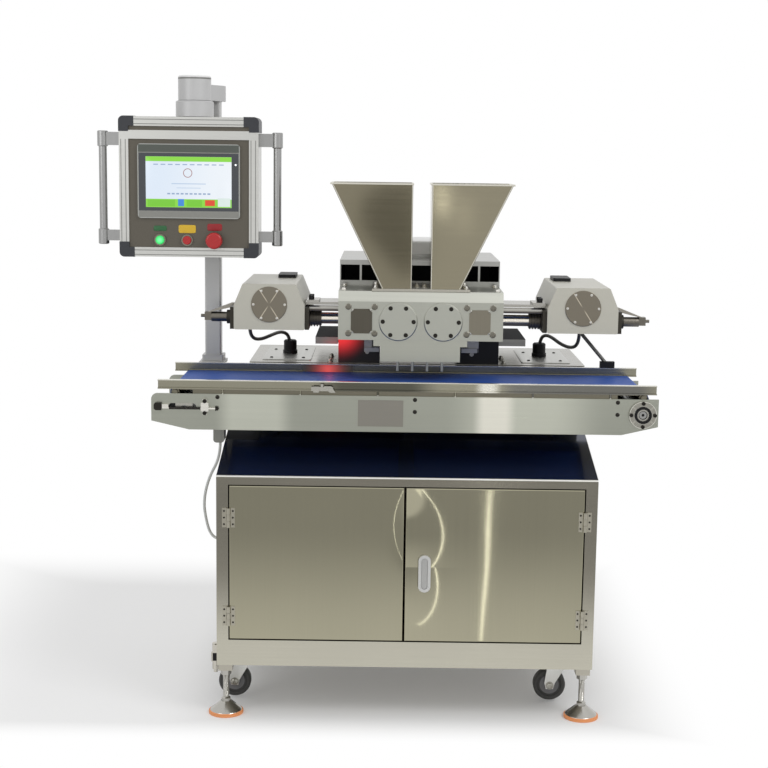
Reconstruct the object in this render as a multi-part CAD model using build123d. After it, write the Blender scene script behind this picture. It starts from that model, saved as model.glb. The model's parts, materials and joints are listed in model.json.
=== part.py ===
from build123d import *
import math
import os

# A one-shot depositor: cabinet, belt, depositing head with two hoppers, two drives and a pendant
# All lengths in mm; x runs to the right, y to the back, z up; y is 0 on the cabinet front

# Cabinet
CAB_W = 900
CAB_D = 660
CAB_BASE = 136
CAB_FRONT_TOP = 600
ROOF_TOP = 676
ROOF_END_Y = 330
SHEET = 3
STILE_W = 28
DOOR_BOTTOM = 199
DOOR_TOP = 578
DOOR_T = 20
DOOR_SHEET = 2
DOOR_GAP = 2
DOOR_EDGE_R = 3
FRAME_EDGE_R = 2.5
DOOR_SPLIT_X = -4
HINGE_H = 47
HINGE_Z = (259, 499)
HINGE_LEAF_W = 15
HINGE_LEAF_T = 2
KNUCKLE_R = 4.5
PIN_R = 1.6
PIN_Y = -5
LATCH_X = 44
LATCH_Z = 369
LATCH_W = 29
LATCH_H = 90
LATCH_T = 6

# Feet and castors
FOOT_X = 433
FOOT_Y = 50
FOOT_R = 42
FOOT_STEM_R = 7
STUB_W = 34
STUB_BOTTOM = 110
CASTOR_X = 393
CASTOR_Y = 155
CASTOR_TRAIL = 28
WHEEL_R = 40
WHEEL_W = 26
WHEEL_LIFT = 6
AXLE_R = 5
KINGPIN_R = 6
RUN_FIT = 0.05
BODY_GAP = 0.3

# Conveyor
CONV_LEFT = -601
CONV_RIGHT = 584
PLATE_BOTTOM = 709
PLATE_TOP = 794
PLATE_T = 5
PLATE_CUT_LEFT = -513
PLATE_CUT_RIGHT = 499
PLATE_CUT_Z = 729
PLATE_CORNER_R = 14
CONV_D = 300
BELT_TOP = 808
BELT_T = 2
BELT_R = 29
BELT_EDGE = 15
NOSE_R = 12
TAIL_NOSE_X = -546
DRIVE_NOSE_X = 549
ROLL_Z = 758
DRIVE_ROLL_X = 547
TAIL_ROLL_X = -525
SHAFT_R = 10
TAIL_SHAFT_R = 8
SLOT_LEFT = -560
SLOT_RIGHT = -496
SLOT_H = 14
BEARING_R = 32
BEARING_T = 8
BEARING_RING_T = 3
RAIL_LEFT = -585
RAIL_RIGHT = 578
RAIL_BOTTOM = 805
RAIL_TOP = 827
RAIL_T = 3
RAIL_LIP = 6
PEG_R = 2.2
PEG_PITCH = 181
PEG_FIRST_X = -434
PEG_COUNT = 6

# Deck and post
DECK_X = 25
DECK_W = 850
DECK_FRONT = 313
DECK_TOP = 828
DECK_T = 8
COVER_XS = (-308, 355)
COVER_W = 124
COVER_FRONT = 350
COVER_BACK = 610
GLAND_R = 17
GLAND_H = 35
GLAND_Y = 480
GLAND_LEFT_X = -307
GLAND_RIGHT_X = 349.5
POST_X = -494
POST_Y = 350
POST_W = 40
POST_WALL = 3
POST_TOP = 1476

# Depositing head
HEAD_X = 28
HEAD_HALF = 198
HEAD_FRONT = 125
HEAD_BACK = 300
HEAD_TAIL = 440
HEAD_BOTTOM = 910
HEAD_TOP = 1027
HEAD_TAIL_TOP = 1000
BEVEL_Z = 1003
BEVEL_IN = 12
VALVE_X = 54
VALVE_Z = 955.5
VALVE_R = 46.5
VALVE_T = 6
VALVE_EDGE = 2.2
SIDE_PLATE_X = 142
SIDE_PLATE_W = 51
SIDE_PLATE_H = 59
MANIFOLD_STEP_HALF = 113
MANIFOLD_HALF = 96
MANIFOLD_STEP_Z = 895
MANIFOLD_BOTTOM = 858
MANIFOLD_FRONT = 129
MANIFOLD_BACK = 229
NOZZLE_PITCH = 36
NOZZLE_COUNT = 4
NOZZLE_R = 3.3
NOZZLE_BORE_R = 1.8
NOZZLE_TIP = 831
NOZZLE_Y = 160
HOPPER_BASE_T = 6
HOPPER_FLANGE_HALF = 118
HOPPER_TOP = 1284
HOPPER_INNER = 22.5
HOPPER_OUTER_TOP = 218
HOPPER_OUTER_BOTTOM = 95
HOPPER_FRONT = 140
HOPPER_BACK = 280
HOPPER_SHEET = 2
HOPPER_EDGE_R = 3
THROAT_DEPTH = 30
PEDESTAL_IN = 98
PEDESTAL_OUT = 203
PEDESTAL_FRONT = 318
PEDESTAL_BACK = 420

# Rear hood and chassis
HOOD_HALF = 200
HOOD_BACK = 650
HOOD_TOP = 1090
HOOD_LIP = 12
CHASSIS_LEFT = -237
CHASSIS_RIGHT = 306
CHASSIS_FRONT = 400
CHASSIS_BOTTOM = 865
CHASSIS_TOP = 883

# Piston drives
DRIVE_LEFT_X = -336
DRIVE_RIGHT_X = 417
DRIVE_HALF = 85
DRIVE_TOP_HALF = 64
DRIVE_FRONT = 130
DRIVE_DEPTH = 300
DRIVE_BOTTOM = 931
DRIVE_SHOULDER = 990
DRIVE_TOP = 1041
DRIVE_COVER_R = 43
DRIVE_COVER_Z = 992
ROD_R = 14
ROD_Y = 210
ROD_Z = 953
STROKE = 30
GUIDE_R = 7
GUIDE_PLACES = ((170, 981), (260, 951))
TAIL_LENGTH = 88

# Operator pendant
PANEL_X = -538
PANEL_SIZE = 340
PANEL_BOTTOM = 1096
PANEL_FRONT = 215
PANEL_D = 90
BAR_W = 24
CAP_W = 37
FACE_RECESS = 5
BEZEL_W = 248
BEZEL_H = 179
BEZEL_BOTTOM = 1191
GLASS_SIDE = 3
GLASS_ABOVE = 22
GLASS_BELOW = 18
LID_RAIL_BOTTOM = 1381
LID_RAIL_TOP = 1402
BUTTON_Z = 1138
BUTTON_XS = (-609, -543, -476)
HANDLE_R = 9.7
HANDLE_OUT = 56
HANDLE_BOTTOM = 1125
HANDLE_TOP = 1400
SLEEVE_R = 13
SLEEVE_H = 38
COUPLING_X = -528
COUPLING_R = 40
COUPLING_TOP = 1534
SWIVEL_R = 20
SWIVEL_COLLAR_R = 46
SWIVEL_COLLAR_H = 38

# Frame of the finished object: middle of the footprint on the floor
LEFT_MOST = PANEL_X - PANEL_SIZE / 2 - HANDLE_OUT
FRONT_MOST = -(BEARING_T + BEARING_RING_T)
RIGHT_MOST = DRIVE_RIGHT_X + DRIVE_HALF + TAIL_LENGTH
FRAME_X = -(LEFT_MOST + RIGHT_MOST) / 2
FRAME_Y = -(FRONT_MOST + CAB_D) / 2
TO_FRAME = Pos(FRAME_X, FRAME_Y, 0)


def block(x0, x1, y0, y1, z0, z1):
    middle = Pos((x0 + x1) / 2, (y0 + y1) / 2, (z0 + z1) / 2)
    return middle * Box(abs(x1 - x0), abs(y1 - y0), abs(z1 - z0))


def rod_x(x0, x1, y, z, radius):
    return Pos((x0 + x1) / 2, y, z) * Rot(0, 90, 0) * Cylinder(radius, abs(x1 - x0))


def rod_y(x, y0, y1, z, radius):
    return Pos(x, (y0 + y1) / 2, z) * Rot(90, 0, 0) * Cylinder(radius, abs(y1 - y0))


def rod_z(x, y, z0, z1, radius):
    return Pos(x, y, (z0 + z1) / 2) * Cylinder(radius, abs(z1 - z0))


def rod_between(start, end, radius):
    path = Line(start, end)
    return sweep(Plane(origin=start, z_dir=path % 0) * Circle(radius), path)


def prism_x(points, x0, x1):
    plane = Plane(origin=(x0, 0, 0), x_dir=(0, 1, 0), z_dir=(1, 0, 0))
    return extrude(plane * make_face(Polyline(*points, close=True)), amount=x1 - x0)


def front_plane(y):
    return Plane(origin=(0, y, 0), x_dir=(1, 0, 0), z_dir=(0, -1, 0))


def prism_y(points, y0, y1):
    return extrude(front_plane(y0) * make_face(Polyline(*points, close=True)), amount=y0 - y1)


def plate_y(sketch, y0, y1):
    return extrude(front_plane(y0) * sketch, amount=y0 - y1)


def revolve_z(points, x, y):
    profile = make_face(Polyline(*points, close=True))
    return Pos(x, y, 0) * revolve(Plane.XZ * profile, Axis.Z)


def tube_path(points):
    turns = []
    runs = [math.dist(a, b) for a, b in zip(points, points[1:])]
    for before, here, after, run_in, run_out in zip(points, points[1:], points[2:], runs, runs[1:]):
        into = [(h - b) / run_in for b, h in zip(before, here)]
        out = [(a - h) / run_out for h, a in zip(here, after)]
        half_turn = math.acos(sum(i * o for i, o in zip(into, out))) / 2
        turns.append(0.45 * min(run_in, run_out) / math.tan(half_turn))
    return FilletPolyline(*points, radius=turns), turns


def tube(name, points, radius):
    path, turns = tube_path(points)
    solid = sweep(Plane(origin=path @ 0, z_dir=path % 0) * Circle(radius), path)
    share = solid.volume / (math.pi * radius**2 * path.length)
    print(name, "length", round(path.length, 1), "volume share", round(share, 4))
    print(name, "turn radii", [round(turn, 1) for turn in turns])
    return solid


nodes = {}


# Cabinet shell: sides, floor, back, sloped roof and the riser that carries the deck
CAB_HALF = CAB_W / 2
DECK_LEFT = DECK_X - DECK_W / 2
DECK_RIGHT = DECK_X + DECK_W / 2
RISER_INSET = 10
RISER_LEFT = DECK_LEFT + RISER_INSET
RISER_RIGHT = DECK_RIGHT - RISER_INSET
RISER_BACK = CAB_D - RISER_INSET
DECK_UNDER = DECK_TOP - DECK_T
shell_profile = [
    (SHEET, CAB_BASE),
    (CAB_D, CAB_BASE),
    (CAB_D, ROOF_TOP),
    (ROOF_END_Y, ROOF_TOP),
    (SHEET, CAB_FRONT_TOP),
]
inner_profile = [
    (0, CAB_BASE + SHEET),
    (CAB_D - SHEET, CAB_BASE + SHEET),
    (CAB_D - SHEET, ROOF_TOP - SHEET),
    (ROOF_END_Y, ROOF_TOP - SHEET),
    (0, CAB_FRONT_TOP - SHEET),
]
shell = prism_x(shell_profile, -CAB_HALF, CAB_HALF)
shell -= prism_x(inner_profile, SHEET - CAB_HALF, CAB_HALF - SHEET)
riser = block(RISER_LEFT, RISER_RIGHT, ROOF_END_Y, RISER_BACK, ROOF_TOP, DECK_UNDER)
riser -= block(
    RISER_LEFT + SHEET, RISER_RIGHT - SHEET, ROOF_END_Y + SHEET, RISER_BACK - SHEET, ROOF_TOP, DECK_UNDER
)
shell += riser
foot_places = [(x, y) for x in (-FOOT_X, FOOT_X) for y in (FOOT_Y, CAB_D - FOOT_Y)]
castor_places = [(x, y) for x in (-CASTOR_X, CASTOR_X) for y in (CASTOR_Y, CAB_D - CASTOR_Y)]
for x, y in foot_places:
    half = STUB_W / 2
    shell += block(x - half, x + half, y - half, y + half, STUB_BOTTOM, CAB_BASE)
for x, y in foot_places:
    shell -= rod_z(x, y, STUB_BOTTOM, CAB_BASE + SHEET, FOOT_STEM_R + RUN_FIT)
nodes["cabinet_shell"] = [shell]

# Front frame with stiles and rails, its top edge bent round, and the frame halves of the four hinges
OPENING_HALF = CAB_HALF - STILE_W
RETURN_D = 22
frame = block(-CAB_HALF, CAB_HALF, 0, SHEET, CAB_BASE, CAB_FRONT_TOP)
top_edge = frame.edges().filter_by(Axis.X).group_by(Axis.Z)[-1].sort_by(Axis.Y)[0]
frame = fillet(top_edge, FRAME_EDGE_R)
frame += block(
    -OPENING_HALF - SHEET, OPENING_HALF + SHEET, SHEET, RETURN_D, DOOR_BOTTOM - SHEET, DOOR_TOP + SHEET
)
frame -= block(-OPENING_HALF, OPENING_HALF, 0, RETURN_D, DOOR_BOTTOM, DOOR_TOP)
frame_members = [
    frame & block(-CAB_HALF, -OPENING_HALF, 0, RETURN_D, CAB_BASE, CAB_FRONT_TOP),
    frame & block(OPENING_HALF, CAB_HALF, 0, RETURN_D, CAB_BASE, CAB_FRONT_TOP),
    frame & block(-OPENING_HALF, OPENING_HALF, 0, RETURN_D, DOOR_TOP, CAB_FRONT_TOP),
    frame & block(-OPENING_HALF, OPENING_HALF, 0, RETURN_D, CAB_BASE, DOOR_BOTTOM),
]
PIN_INSET = 1
PIN_X = OPENING_HALF - PIN_INSET
KNUCKLE_PITCH = HINGE_H / 3
LEAF_IN = KNUCKLE_R + 0.7
LEAF_LAP = 1


def hinge_leaf(side, z_mid, outward, barrels):
    # side is the cabinet side, outward is +1 for the leaf on the stile and -1 for the leaf on the door
    x_pin = side * PIN_X
    reach = side * outward
    bottom = z_mid - HINGE_H / 2
    leaf_near = x_pin + reach * LEAF_IN
    leaf_far = x_pin + reach * HINGE_LEAF_W
    leaf = block(leaf_near, leaf_far, -HINGE_LEAF_T, 0, bottom, bottom + HINGE_H)
    for barrel in barrels:
        low = bottom + barrel * KNUCKLE_PITCH + BODY_GAP
        high = low + KNUCKLE_PITCH - 2 * BODY_GAP
        leaf += rod_z(x_pin, PIN_Y, low, high, KNUCKLE_R)
        web_far = leaf_near + reach * LEAF_LAP
        leaf += block(x_pin, web_far, -HINGE_LEAF_T - LEAF_LAP, -LEAF_LAP, low, high)
    return leaf


hinge_solids = []
for side in (-1, 1):
    for z_mid in HINGE_Z:
        pin = rod_z(side * PIN_X, PIN_Y, z_mid - HINGE_H / 2 + BODY_GAP, z_mid + HINGE_H / 2 - BODY_GAP, PIN_R)
        hinge_solids.append(hinge_leaf(side, z_mid, 1, (0, 2)) + pin)
nodes["cabinet_front_frame"] = frame_members + hinge_solids

# Doors: folded pans with rounded front edges, open to the back, each with the door halves of its hinges
DOOR_HALF_GAP = 2


def door(side):
    outer = side * (OPENING_HALF - DOOR_GAP)
    inner = DOOR_SPLIT_X + side * DOOR_HALF_GAP
    low = DOOR_BOTTOM + DOOR_GAP
    high = DOOR_TOP - DOOR_GAP
    pan = block(outer, inner, 0, DOOR_T, low, high)
    pan = fillet(pan.edges().group_by(Axis.Y)[0], DOOR_EDGE_R)
    inside_outer = outer - side * DOOR_SHEET
    inside_inner = inner + side * DOOR_SHEET
    pan -= block(inside_outer, inside_inner, DOOR_SHEET, DOOR_T, low + DOOR_SHEET, high - DOOR_SHEET)
    leaves = []
    for z_mid in HINGE_Z:
        leaf = hinge_leaf(side, z_mid, -1, (1,))
        leaves.append(leaf - rod_z(side * PIN_X, PIN_Y, z_mid - HINGE_H, z_mid + HINGE_H, PIN_R + RUN_FIT))
    return pan, leaves


left_pan, left_leaves = door(-1)
right_pan, right_leaves = door(1)

# Latch: an oblong body with a slot, and the pull lever that swings out of it about its top end
LATCH_RIM = 7
LEVER_GAP = 0.6
LEVER_T = 3
LEVER_PIN_R = 1.2
LEVER_PIN_END = 2
slot_w = LATCH_W - 2 * LATCH_RIM
slot_h = LATCH_H - 2 * LATCH_RIM
latch_plane = Pos(LATCH_X, LATCH_Z)
slot_shape = latch_plane * SlotOverall(slot_h, slot_w, rotation=90)
latch_body = plate_y(latch_plane * SlotOverall(LATCH_H, LATCH_W, rotation=90), -LATCH_T, 0)
latch_body -= plate_y(slot_shape, -LATCH_T, 0)
right_pan -= plate_y(slot_shape, 0, DOOR_SHEET)
LEVER_PIN_Y = -LATCH_T / 2
LEVER_PIN_Z = LATCH_Z + slot_h / 2 - slot_w / 2
lever_shape = latch_plane * SlotOverall(slot_h - 2 * LEVER_GAP, slot_w - 2 * LEVER_GAP, rotation=90)
lever = plate_y(lever_shape, LEVER_PIN_Y - LEVER_T / 2, LEVER_PIN_Y + LEVER_T / 2)
pin_half = slot_w / 2 + LEVER_PIN_END
lever_pin = rod_x(LATCH_X - pin_half, LATCH_X + pin_half, LEVER_PIN_Y, LEVER_PIN_Z, LEVER_PIN_R)
latch_body -= rod_x(LATCH_X - slot_w, LATCH_X + slot_w, LEVER_PIN_Y, LEVER_PIN_Z, LEVER_PIN_R + RUN_FIT)
nodes["door_left"] = [left_pan] + left_leaves
nodes["door_right"] = [right_pan] + right_leaves + [latch_body]
nodes["latch_lever"] = [lever + lever_pin]

# Levelling feet: pad, cone, ball boss, stem and lock nut
NUT_H = 13
NUT_R = 13
PAD_H = 6
PAD_STEP = 2
CONE_TOP = 30
CONE_TOP_R = 13
BOSS_TOP = 40
BOSS_R = 11
BOSS_SLOPE = 3
STEM_TOP = 156
foot_profile = [
    (0, 0),
    (FOOT_R, 0),
    (FOOT_R, PAD_H),
    (FOOT_R - PAD_STEP, PAD_H),
    (FOOT_R - 2 * PAD_STEP, PAD_H + BOSS_SLOPE),
    (CONE_TOP_R, CONE_TOP),
    (BOSS_R, CONE_TOP),
    (BOSS_R, BOSS_TOP - BOSS_SLOPE),
    (FOOT_STEM_R, BOSS_TOP),
    (FOOT_STEM_R, STEM_TOP),
    (0, STEM_TOP),
]
corner_names = ("front_left", "rear_left", "front_right", "rear_right")
for name, (x, y) in zip(corner_names, foot_places):
    nut_top = STUB_BOTTOM - BODY_GAP
    nut = Pos(x, y, nut_top - NUT_H) * extrude(RegularPolygon(NUT_R, 6), amount=NUT_H)
    nodes["foot_" + name] = [revolve_z(foot_profile, x, y) + nut]

# Castors: top plate with kingpin, swivelling fork with axle, wheel with a raised hub and a rounded tread
PLATE_HALF_X = 36
PLATE_HALF_Y = 28
PLATE_H = 6
KINGPIN_HEAD_H = 3
KINGPIN_HEAD_R = KINGPIN_R + 4
CROWN_TOP = CAB_BASE - PLATE_H - BODY_GAP
CROWN_H = 16
CROWN_R = 24
FORK_LEG_T = 3
FORK_SIDE_GAP = 1.5
FORK_FOOT = 13
FORK_FOOT_LOW = 9
FORK_SHOULDER_T = 4
AXLE_END = 3
HUB_R = 12
HUB_RIM = 4
TREAD_ROUND = 4
axle_z = WHEEL_LIFT + WHEEL_R
leg_y = WHEEL_W / 2 + FORK_SIDE_GAP
crown_bottom = CROWN_TOP - CROWN_H
shoulder_top = CROWN_TOP - 2
plates = []
for x, y in castor_places:
    plate = Pos(x, y, CAB_BASE - PLATE_H / 2) * Box(2 * PLATE_HALF_X, 2 * PLATE_HALF_Y, PLATE_H)
    head_top = crown_bottom - BODY_GAP
    plate += rod_z(x, y, head_top - KINGPIN_HEAD_H, CAB_BASE, KINGPIN_R)
    plate += rod_z(x, y, head_top - KINGPIN_HEAD_H, head_top, KINGPIN_HEAD_R)
    plates.append(plate)
nodes["castor_plates"] = plates
half = WHEEL_W / 2
wheel_profile = [
    (AXLE_R + RUN_FIT, -half),
    (HUB_R, -half),
    (HUB_R + 2, HUB_RIM - half),
    (WHEEL_R - 3 * TREAD_ROUND, HUB_RIM - half),
    (WHEEL_R - 2.5 * TREAD_ROUND, 1 - half),
    (WHEEL_R - TREAD_ROUND, 1 - half),
    (WHEEL_R, TREAD_ROUND + 1 - half),
]
wheel_profile += [(r, -h) for r, h in reversed(wheel_profile)]
wheel_face = Plane.XZ * make_face(Polyline(*wheel_profile, close=True))
wheel_shape = Rot(90, 0, 0) * revolve(wheel_face, Axis.Z)
for name, (x, y) in zip(corner_names, castor_places):
    wheel_x = x - CASTOR_TRAIL
    fork_left = x - CROWN_R - 6
    fork_right = x + CROWN_R - 4
    leg_outline = [
        (fork_right, shoulder_top),
        (fork_left, shoulder_top),
        (wheel_x - FORK_FOOT, axle_z + 6),
        (wheel_x - FORK_FOOT_LOW, axle_z - FORK_FOOT_LOW),
        (wheel_x + FORK_FOOT_LOW, axle_z - FORK_FOOT_LOW),
        (wheel_x + FORK_FOOT, axle_z + 6),
        (fork_right, shoulder_top - CROWN_H),
    ]
    fork = rod_z(x, y, crown_bottom, CROWN_TOP, CROWN_R)
    for side in (-1, 1):
        fork += prism_y(leg_outline, y + side * leg_y, y + side * (leg_y + FORK_LEG_T))
    fork += block(fork_left, fork_right, y - leg_y, y + leg_y, shoulder_top - FORK_SHOULDER_T, shoulder_top)
    fork -= rod_z(x, y, crown_bottom, CROWN_TOP, KINGPIN_R + RUN_FIT)
    axle_half = leg_y + FORK_LEG_T + AXLE_END
    fork += rod_y(wheel_x, y - axle_half, y + axle_half, axle_z, AXLE_R)
    nodes["castor_fork_" + name] = [fork]
    nodes["castor_wheel_" + name] = [Pos(wheel_x, y, axle_z) * wheel_shape]


# Conveyor side plates with cut lower corners, take-up slots and bearing holes
SLOT_Z = ROLL_Z + 6
CONV_BACK = CONV_D - PLATE_T
HUB_HOLE_R = BEARING_R - 12


def side_plate(y0, y1):
    corners = [
        (CONV_LEFT, PLATE_TOP),
        (CONV_LEFT, PLATE_CUT_Z),
        (PLATE_CUT_LEFT, PLATE_BOTTOM),
        (PLATE_CUT_RIGHT, PLATE_BOTTOM),
        (CONV_RIGHT, PLATE_CUT_Z),
        (CONV_RIGHT, PLATE_TOP),
    ]
    face = make_face(Polyline(*corners, close=True))
    top_left = face.vertices().group_by(Axis.Y)[-1].sort_by(Axis.X)[0]
    face = fillet(top_left, PLATE_CORNER_R)
    slot = Pos((SLOT_LEFT + SLOT_RIGHT) / 2, SLOT_Z) * SlotOverall(SLOT_RIGHT - SLOT_LEFT, SLOT_H)
    hole = Pos(DRIVE_ROLL_X, ROLL_Z) * Circle(HUB_HOLE_R)
    return plate_y(face - slot - hole, y0, y1)


nodes["conveyor_side_plates"] = [side_plate(0, PLATE_T), side_plate(CONV_BACK, CONV_D)]

# Belt loop: over a thin nose bar at each end, down round the rollers and back
NOSE_Z = BELT_TOP - NOSE_R
loop_circles = (
    (TAIL_NOSE_X, NOSE_Z, NOSE_R),
    (DRIVE_NOSE_X, NOSE_Z, NOSE_R),
    (TAIL_ROLL_X, ROLL_Z, BELT_R),
    (DRIVE_ROLL_X, ROLL_Z, BELT_R),
)


def loop_face(inset):
    edges = [edge for x, z, r in loop_circles for edge in (Pos(x, z) * Circle(r - inset)).edges()]
    return make_hull(edges)


belt_section = loop_face(0) - loop_face(BELT_T)
belt_loop = plate_y(belt_section, BELT_EDGE, CONV_D - BELT_EDGE)

# The belt is spliced where its two straight runs meet the bends round each end
SPLICE_X = 500
BELT_REACH = 600
belt_parts = []
for x0, x1 in ((-BELT_REACH, -SPLICE_X), (-SPLICE_X, SPLICE_X), (SPLICE_X, BELT_REACH)):
    length = belt_loop & block(x0, x1, 0, CONV_D, PLATE_BOTTOM - BELT_REACH, BELT_TOP + BELT_T)
    belt_parts.extend(length.solids())
nodes["conveyor_belt"] = belt_parts

# Bed under the belt with a nose bar at each end, cross bars between the side plates, and spacers to the riser
BED_T = 4
BED_GAP = 1.2
BED_LEFT = TAIL_ROLL_X + 21
BED_RIGHT = DRIVE_ROLL_X - 59
BED_FLANGE_H = 30
NOSE_IN = BELT_EDGE - 3
NOSE_PIN_R = 6
TIE_W = 38
TIE_T = 5
TIE_XS = (-460, 0, 460)
SPACER_W = 60
SPACER_INSET = 10
SPACER_XS = (-300, DECK_X, 350)
bed_top = BELT_TOP - BELT_T - BED_GAP
bed_under = bed_top - BED_T
nose_bar_r = NOSE_R - BELT_T - BODY_GAP
slide_left = TAIL_NOSE_X + nose_bar_r
slide_right = DRIVE_NOSE_X - nose_bar_r
bed = block(BED_LEFT, BED_RIGHT, PLATE_T, CONV_BACK, bed_under, bed_top)
bed += block(slide_left, slide_right, BELT_EDGE, CONV_D - BELT_EDGE, bed_under, bed_top)
bed_parts = [bed]
for x in (TAIL_NOSE_X, DRIVE_NOSE_X):
    bar = rod_y(x, NOSE_IN, CONV_D - NOSE_IN, NOSE_Z, nose_bar_r)
    bed_parts.append(bar + rod_y(x, PLATE_T, CONV_BACK, NOSE_Z, NOSE_PIN_R))
for y in (PLATE_T, CONV_BACK - SHEET):
    bed_parts.append(block(BED_LEFT, BED_RIGHT, y, y + SHEET, bed_top - BED_FLANGE_H, bed_under))
tie_top = PLATE_BOTTOM + TIE_T
for x in TIE_XS:
    bed_parts.append(block(x - TIE_W / 2, x + TIE_W / 2, PLATE_T, CONV_BACK, PLATE_BOTTOM, tie_top))
spacer_low = PLATE_BOTTOM + SPACER_INSET
spacer_high = PLATE_TOP - SPACER_INSET
for x in SPACER_XS:
    bed_parts.append(block(x - SPACER_W / 2, x + SPACER_W / 2, CONV_D, ROOF_END_Y, spacer_low, spacer_high))
nodes["conveyor_bed"] = bed_parts

# Drive roller and tail roller with their shafts
ROLLER_R = BELT_R - BELT_T - BODY_GAP
ROLLER_IN = BELT_EDGE + 2
SHAFT_PROUD = 6
TAIL_SHAFT_GAP = 1
drive_roller = rod_y(DRIVE_ROLL_X, ROLLER_IN, CONV_D - ROLLER_IN, ROLL_Z, ROLLER_R)
drive_roller += rod_y(DRIVE_ROLL_X, -SHAFT_PROUD, CONV_D + SHAFT_PROUD, ROLL_Z, SHAFT_R)
tail_roller = rod_y(TAIL_ROLL_X, ROLLER_IN, CONV_D - ROLLER_IN, ROLL_Z, ROLLER_R)
tail_roller += rod_y(TAIL_ROLL_X, PLATE_T + TAIL_SHAFT_GAP, CONV_BACK - TAIL_SHAFT_GAP, ROLL_Z, TAIL_SHAFT_R)
nodes["drive_roller"] = [drive_roller]
nodes["tail_roller"] = [tail_roller]

# Guide rails: folded strips with lips above and below, each standing on pegs
peg_xs = [PEG_FIRST_X + PEG_PITCH * i for i in range(PEG_COUNT)]


def guide_rail(web_y):
    lip_y = web_y - RAIL_T - RAIL_LIP
    rail = block(RAIL_LEFT, RAIL_RIGHT, web_y, web_y - RAIL_T, RAIL_BOTTOM, RAIL_TOP)
    for low in (RAIL_BOTTOM, RAIL_TOP - RAIL_T):
        rail += block(RAIL_LEFT, RAIL_RIGHT, web_y, lip_y, low, low + RAIL_T)
    for x in peg_xs:
        rail += rod_z(x, web_y - PLATE_T / 2, PLATE_TOP, RAIL_BOTTOM, PEG_R)
    return rail


nodes["guide_rails"] = [guide_rail(PLATE_T), guide_rail(CONV_D)]

# Flanged bearings of the drive roller, the front one with a raised ring
RING_IN = SHAFT_R + 4
fittings = []
for y0, y1 in ((-BEARING_T, 0), (CONV_D, CONV_D + BEARING_T)):
    bearing = rod_y(DRIVE_ROLL_X, y0, y1, ROLL_Z, BEARING_R)
    bearing -= rod_y(DRIVE_ROLL_X, y0, y1, ROLL_Z, SHAFT_R + RUN_FIT)
    if y0 < 0:
        ring = rod_y(DRIVE_ROLL_X, y0 - BEARING_RING_T, y0, ROLL_Z, HUB_HOLE_R)
        bearing += ring - rod_y(DRIVE_ROLL_X, y0 - BEARING_RING_T, y0, ROLL_Z, RING_IN)
    fittings.append(bearing)

# Carriers of the tail roller, and the take-up with lug, nut block and tension rod on the front plate
CARRIER_HALF = 20
CARRIER_GAP = 1
for y0, y1 in ((PLATE_T, BELT_EDGE - CARRIER_GAP), (CONV_D - BELT_EDGE + CARRIER_GAP, CONV_BACK)):
    carrier = plate_y(Pos(TAIL_ROLL_X, ROLL_Z) * Rectangle(2 * CARRIER_HALF, 2 * CARRIER_HALF), y0, y1)
    fittings.append(carrier - rod_y(TAIL_ROLL_X, y0, y1, ROLL_Z, TAIL_SHAFT_R + RUN_FIT))
LUG_LEFT = -594
LUG_RIGHT = -577
LUG_HALF = 9
LUG_EDGE_R = 6
LINK_HALF = 5
LINK_T = 7
NUT_BLOCK_LEFT = -484
NUT_BLOCK_RIGHT = -466
NUT_BLOCK_HALF = 10
NUT_WEB_IN = 4
NUT_WEB_HALF = 18
NUT_WEB_T = 8
TENSION_R = 2.5
TENSION_Y = -4
TENSION_Z = SLOT_Z - 4
TENSION_END = -444
lug = block(LUG_LEFT, LUG_RIGHT, -LUG_HALF, 0, SLOT_Z - LUG_HALF, SLOT_Z + LUG_HALF)
lug = fillet(lug.edges().filter_by(Axis.Y).group_by(Axis.X)[0], LUG_EDGE_R)
tension = lug + block(LUG_RIGHT, SLOT_LEFT, -LINK_T, 0, SLOT_Z - LINK_HALF, SLOT_Z + LINK_HALF)
tension += block(
    NUT_BLOCK_LEFT, NUT_BLOCK_RIGHT, -NUT_BLOCK_HALF, 0, SLOT_Z - NUT_BLOCK_HALF, SLOT_Z + NUT_BLOCK_HALF
)
web_left = NUT_BLOCK_LEFT + NUT_WEB_IN
web_right = NUT_BLOCK_RIGHT - NUT_WEB_IN
tension += block(web_left, web_right, -NUT_WEB_T, 0, SLOT_Z - NUT_WEB_HALF, SLOT_Z + NUT_WEB_HALF)
tension += rod_x(SLOT_LEFT, NUT_BLOCK_LEFT, TENSION_Y, TENSION_Z, TENSION_R)
tension += rod_x(NUT_BLOCK_RIGHT, TENSION_END, TENSION_Y, TENSION_Z, TENSION_R)
fittings.append(tension)

# Bare plate on the front, and the sensor clamp on the rail: plate, block, knob and slanted barrel
BARE_LEFT = -118
BARE_RIGHT = -12
BARE_LOW = 722
BARE_HIGH = 784
BARE_T = 1.5
fittings.append(block(BARE_LEFT, BARE_RIGHT, -BARE_T, 0, BARE_LOW, BARE_HIGH))
CLAMP_LEFT = -227
CLAMP_RIGHT = -176
CLAMP_T = 4
CLAMP_H = 10
CLAMP_FACE = FRONT_MOST
clamp_back = PLATE_T - RAIL_T - RAIL_LIP
clamp_front = clamp_back - CLAMP_T
clamp_top = RAIL_BOTTOM + CLAMP_H
clamp = block(CLAMP_LEFT, CLAMP_RIGHT, clamp_front, clamp_back, RAIL_BOTTOM, clamp_top)
clamp += block(CLAMP_LEFT + 5, CLAMP_LEFT + 18, CLAMP_FACE, clamp_front, RAIL_BOTTOM - 3, clamp_top + 1)
KNOB_X = CLAMP_LEFT + 25
KNOB_R = 4.5
KNOB_H = 7
knob_y = clamp_back - CLAMP_T / 2
clamp += rod_z(KNOB_X, knob_y, clamp_top, clamp_top + KNOB_H, KNOB_R)
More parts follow.
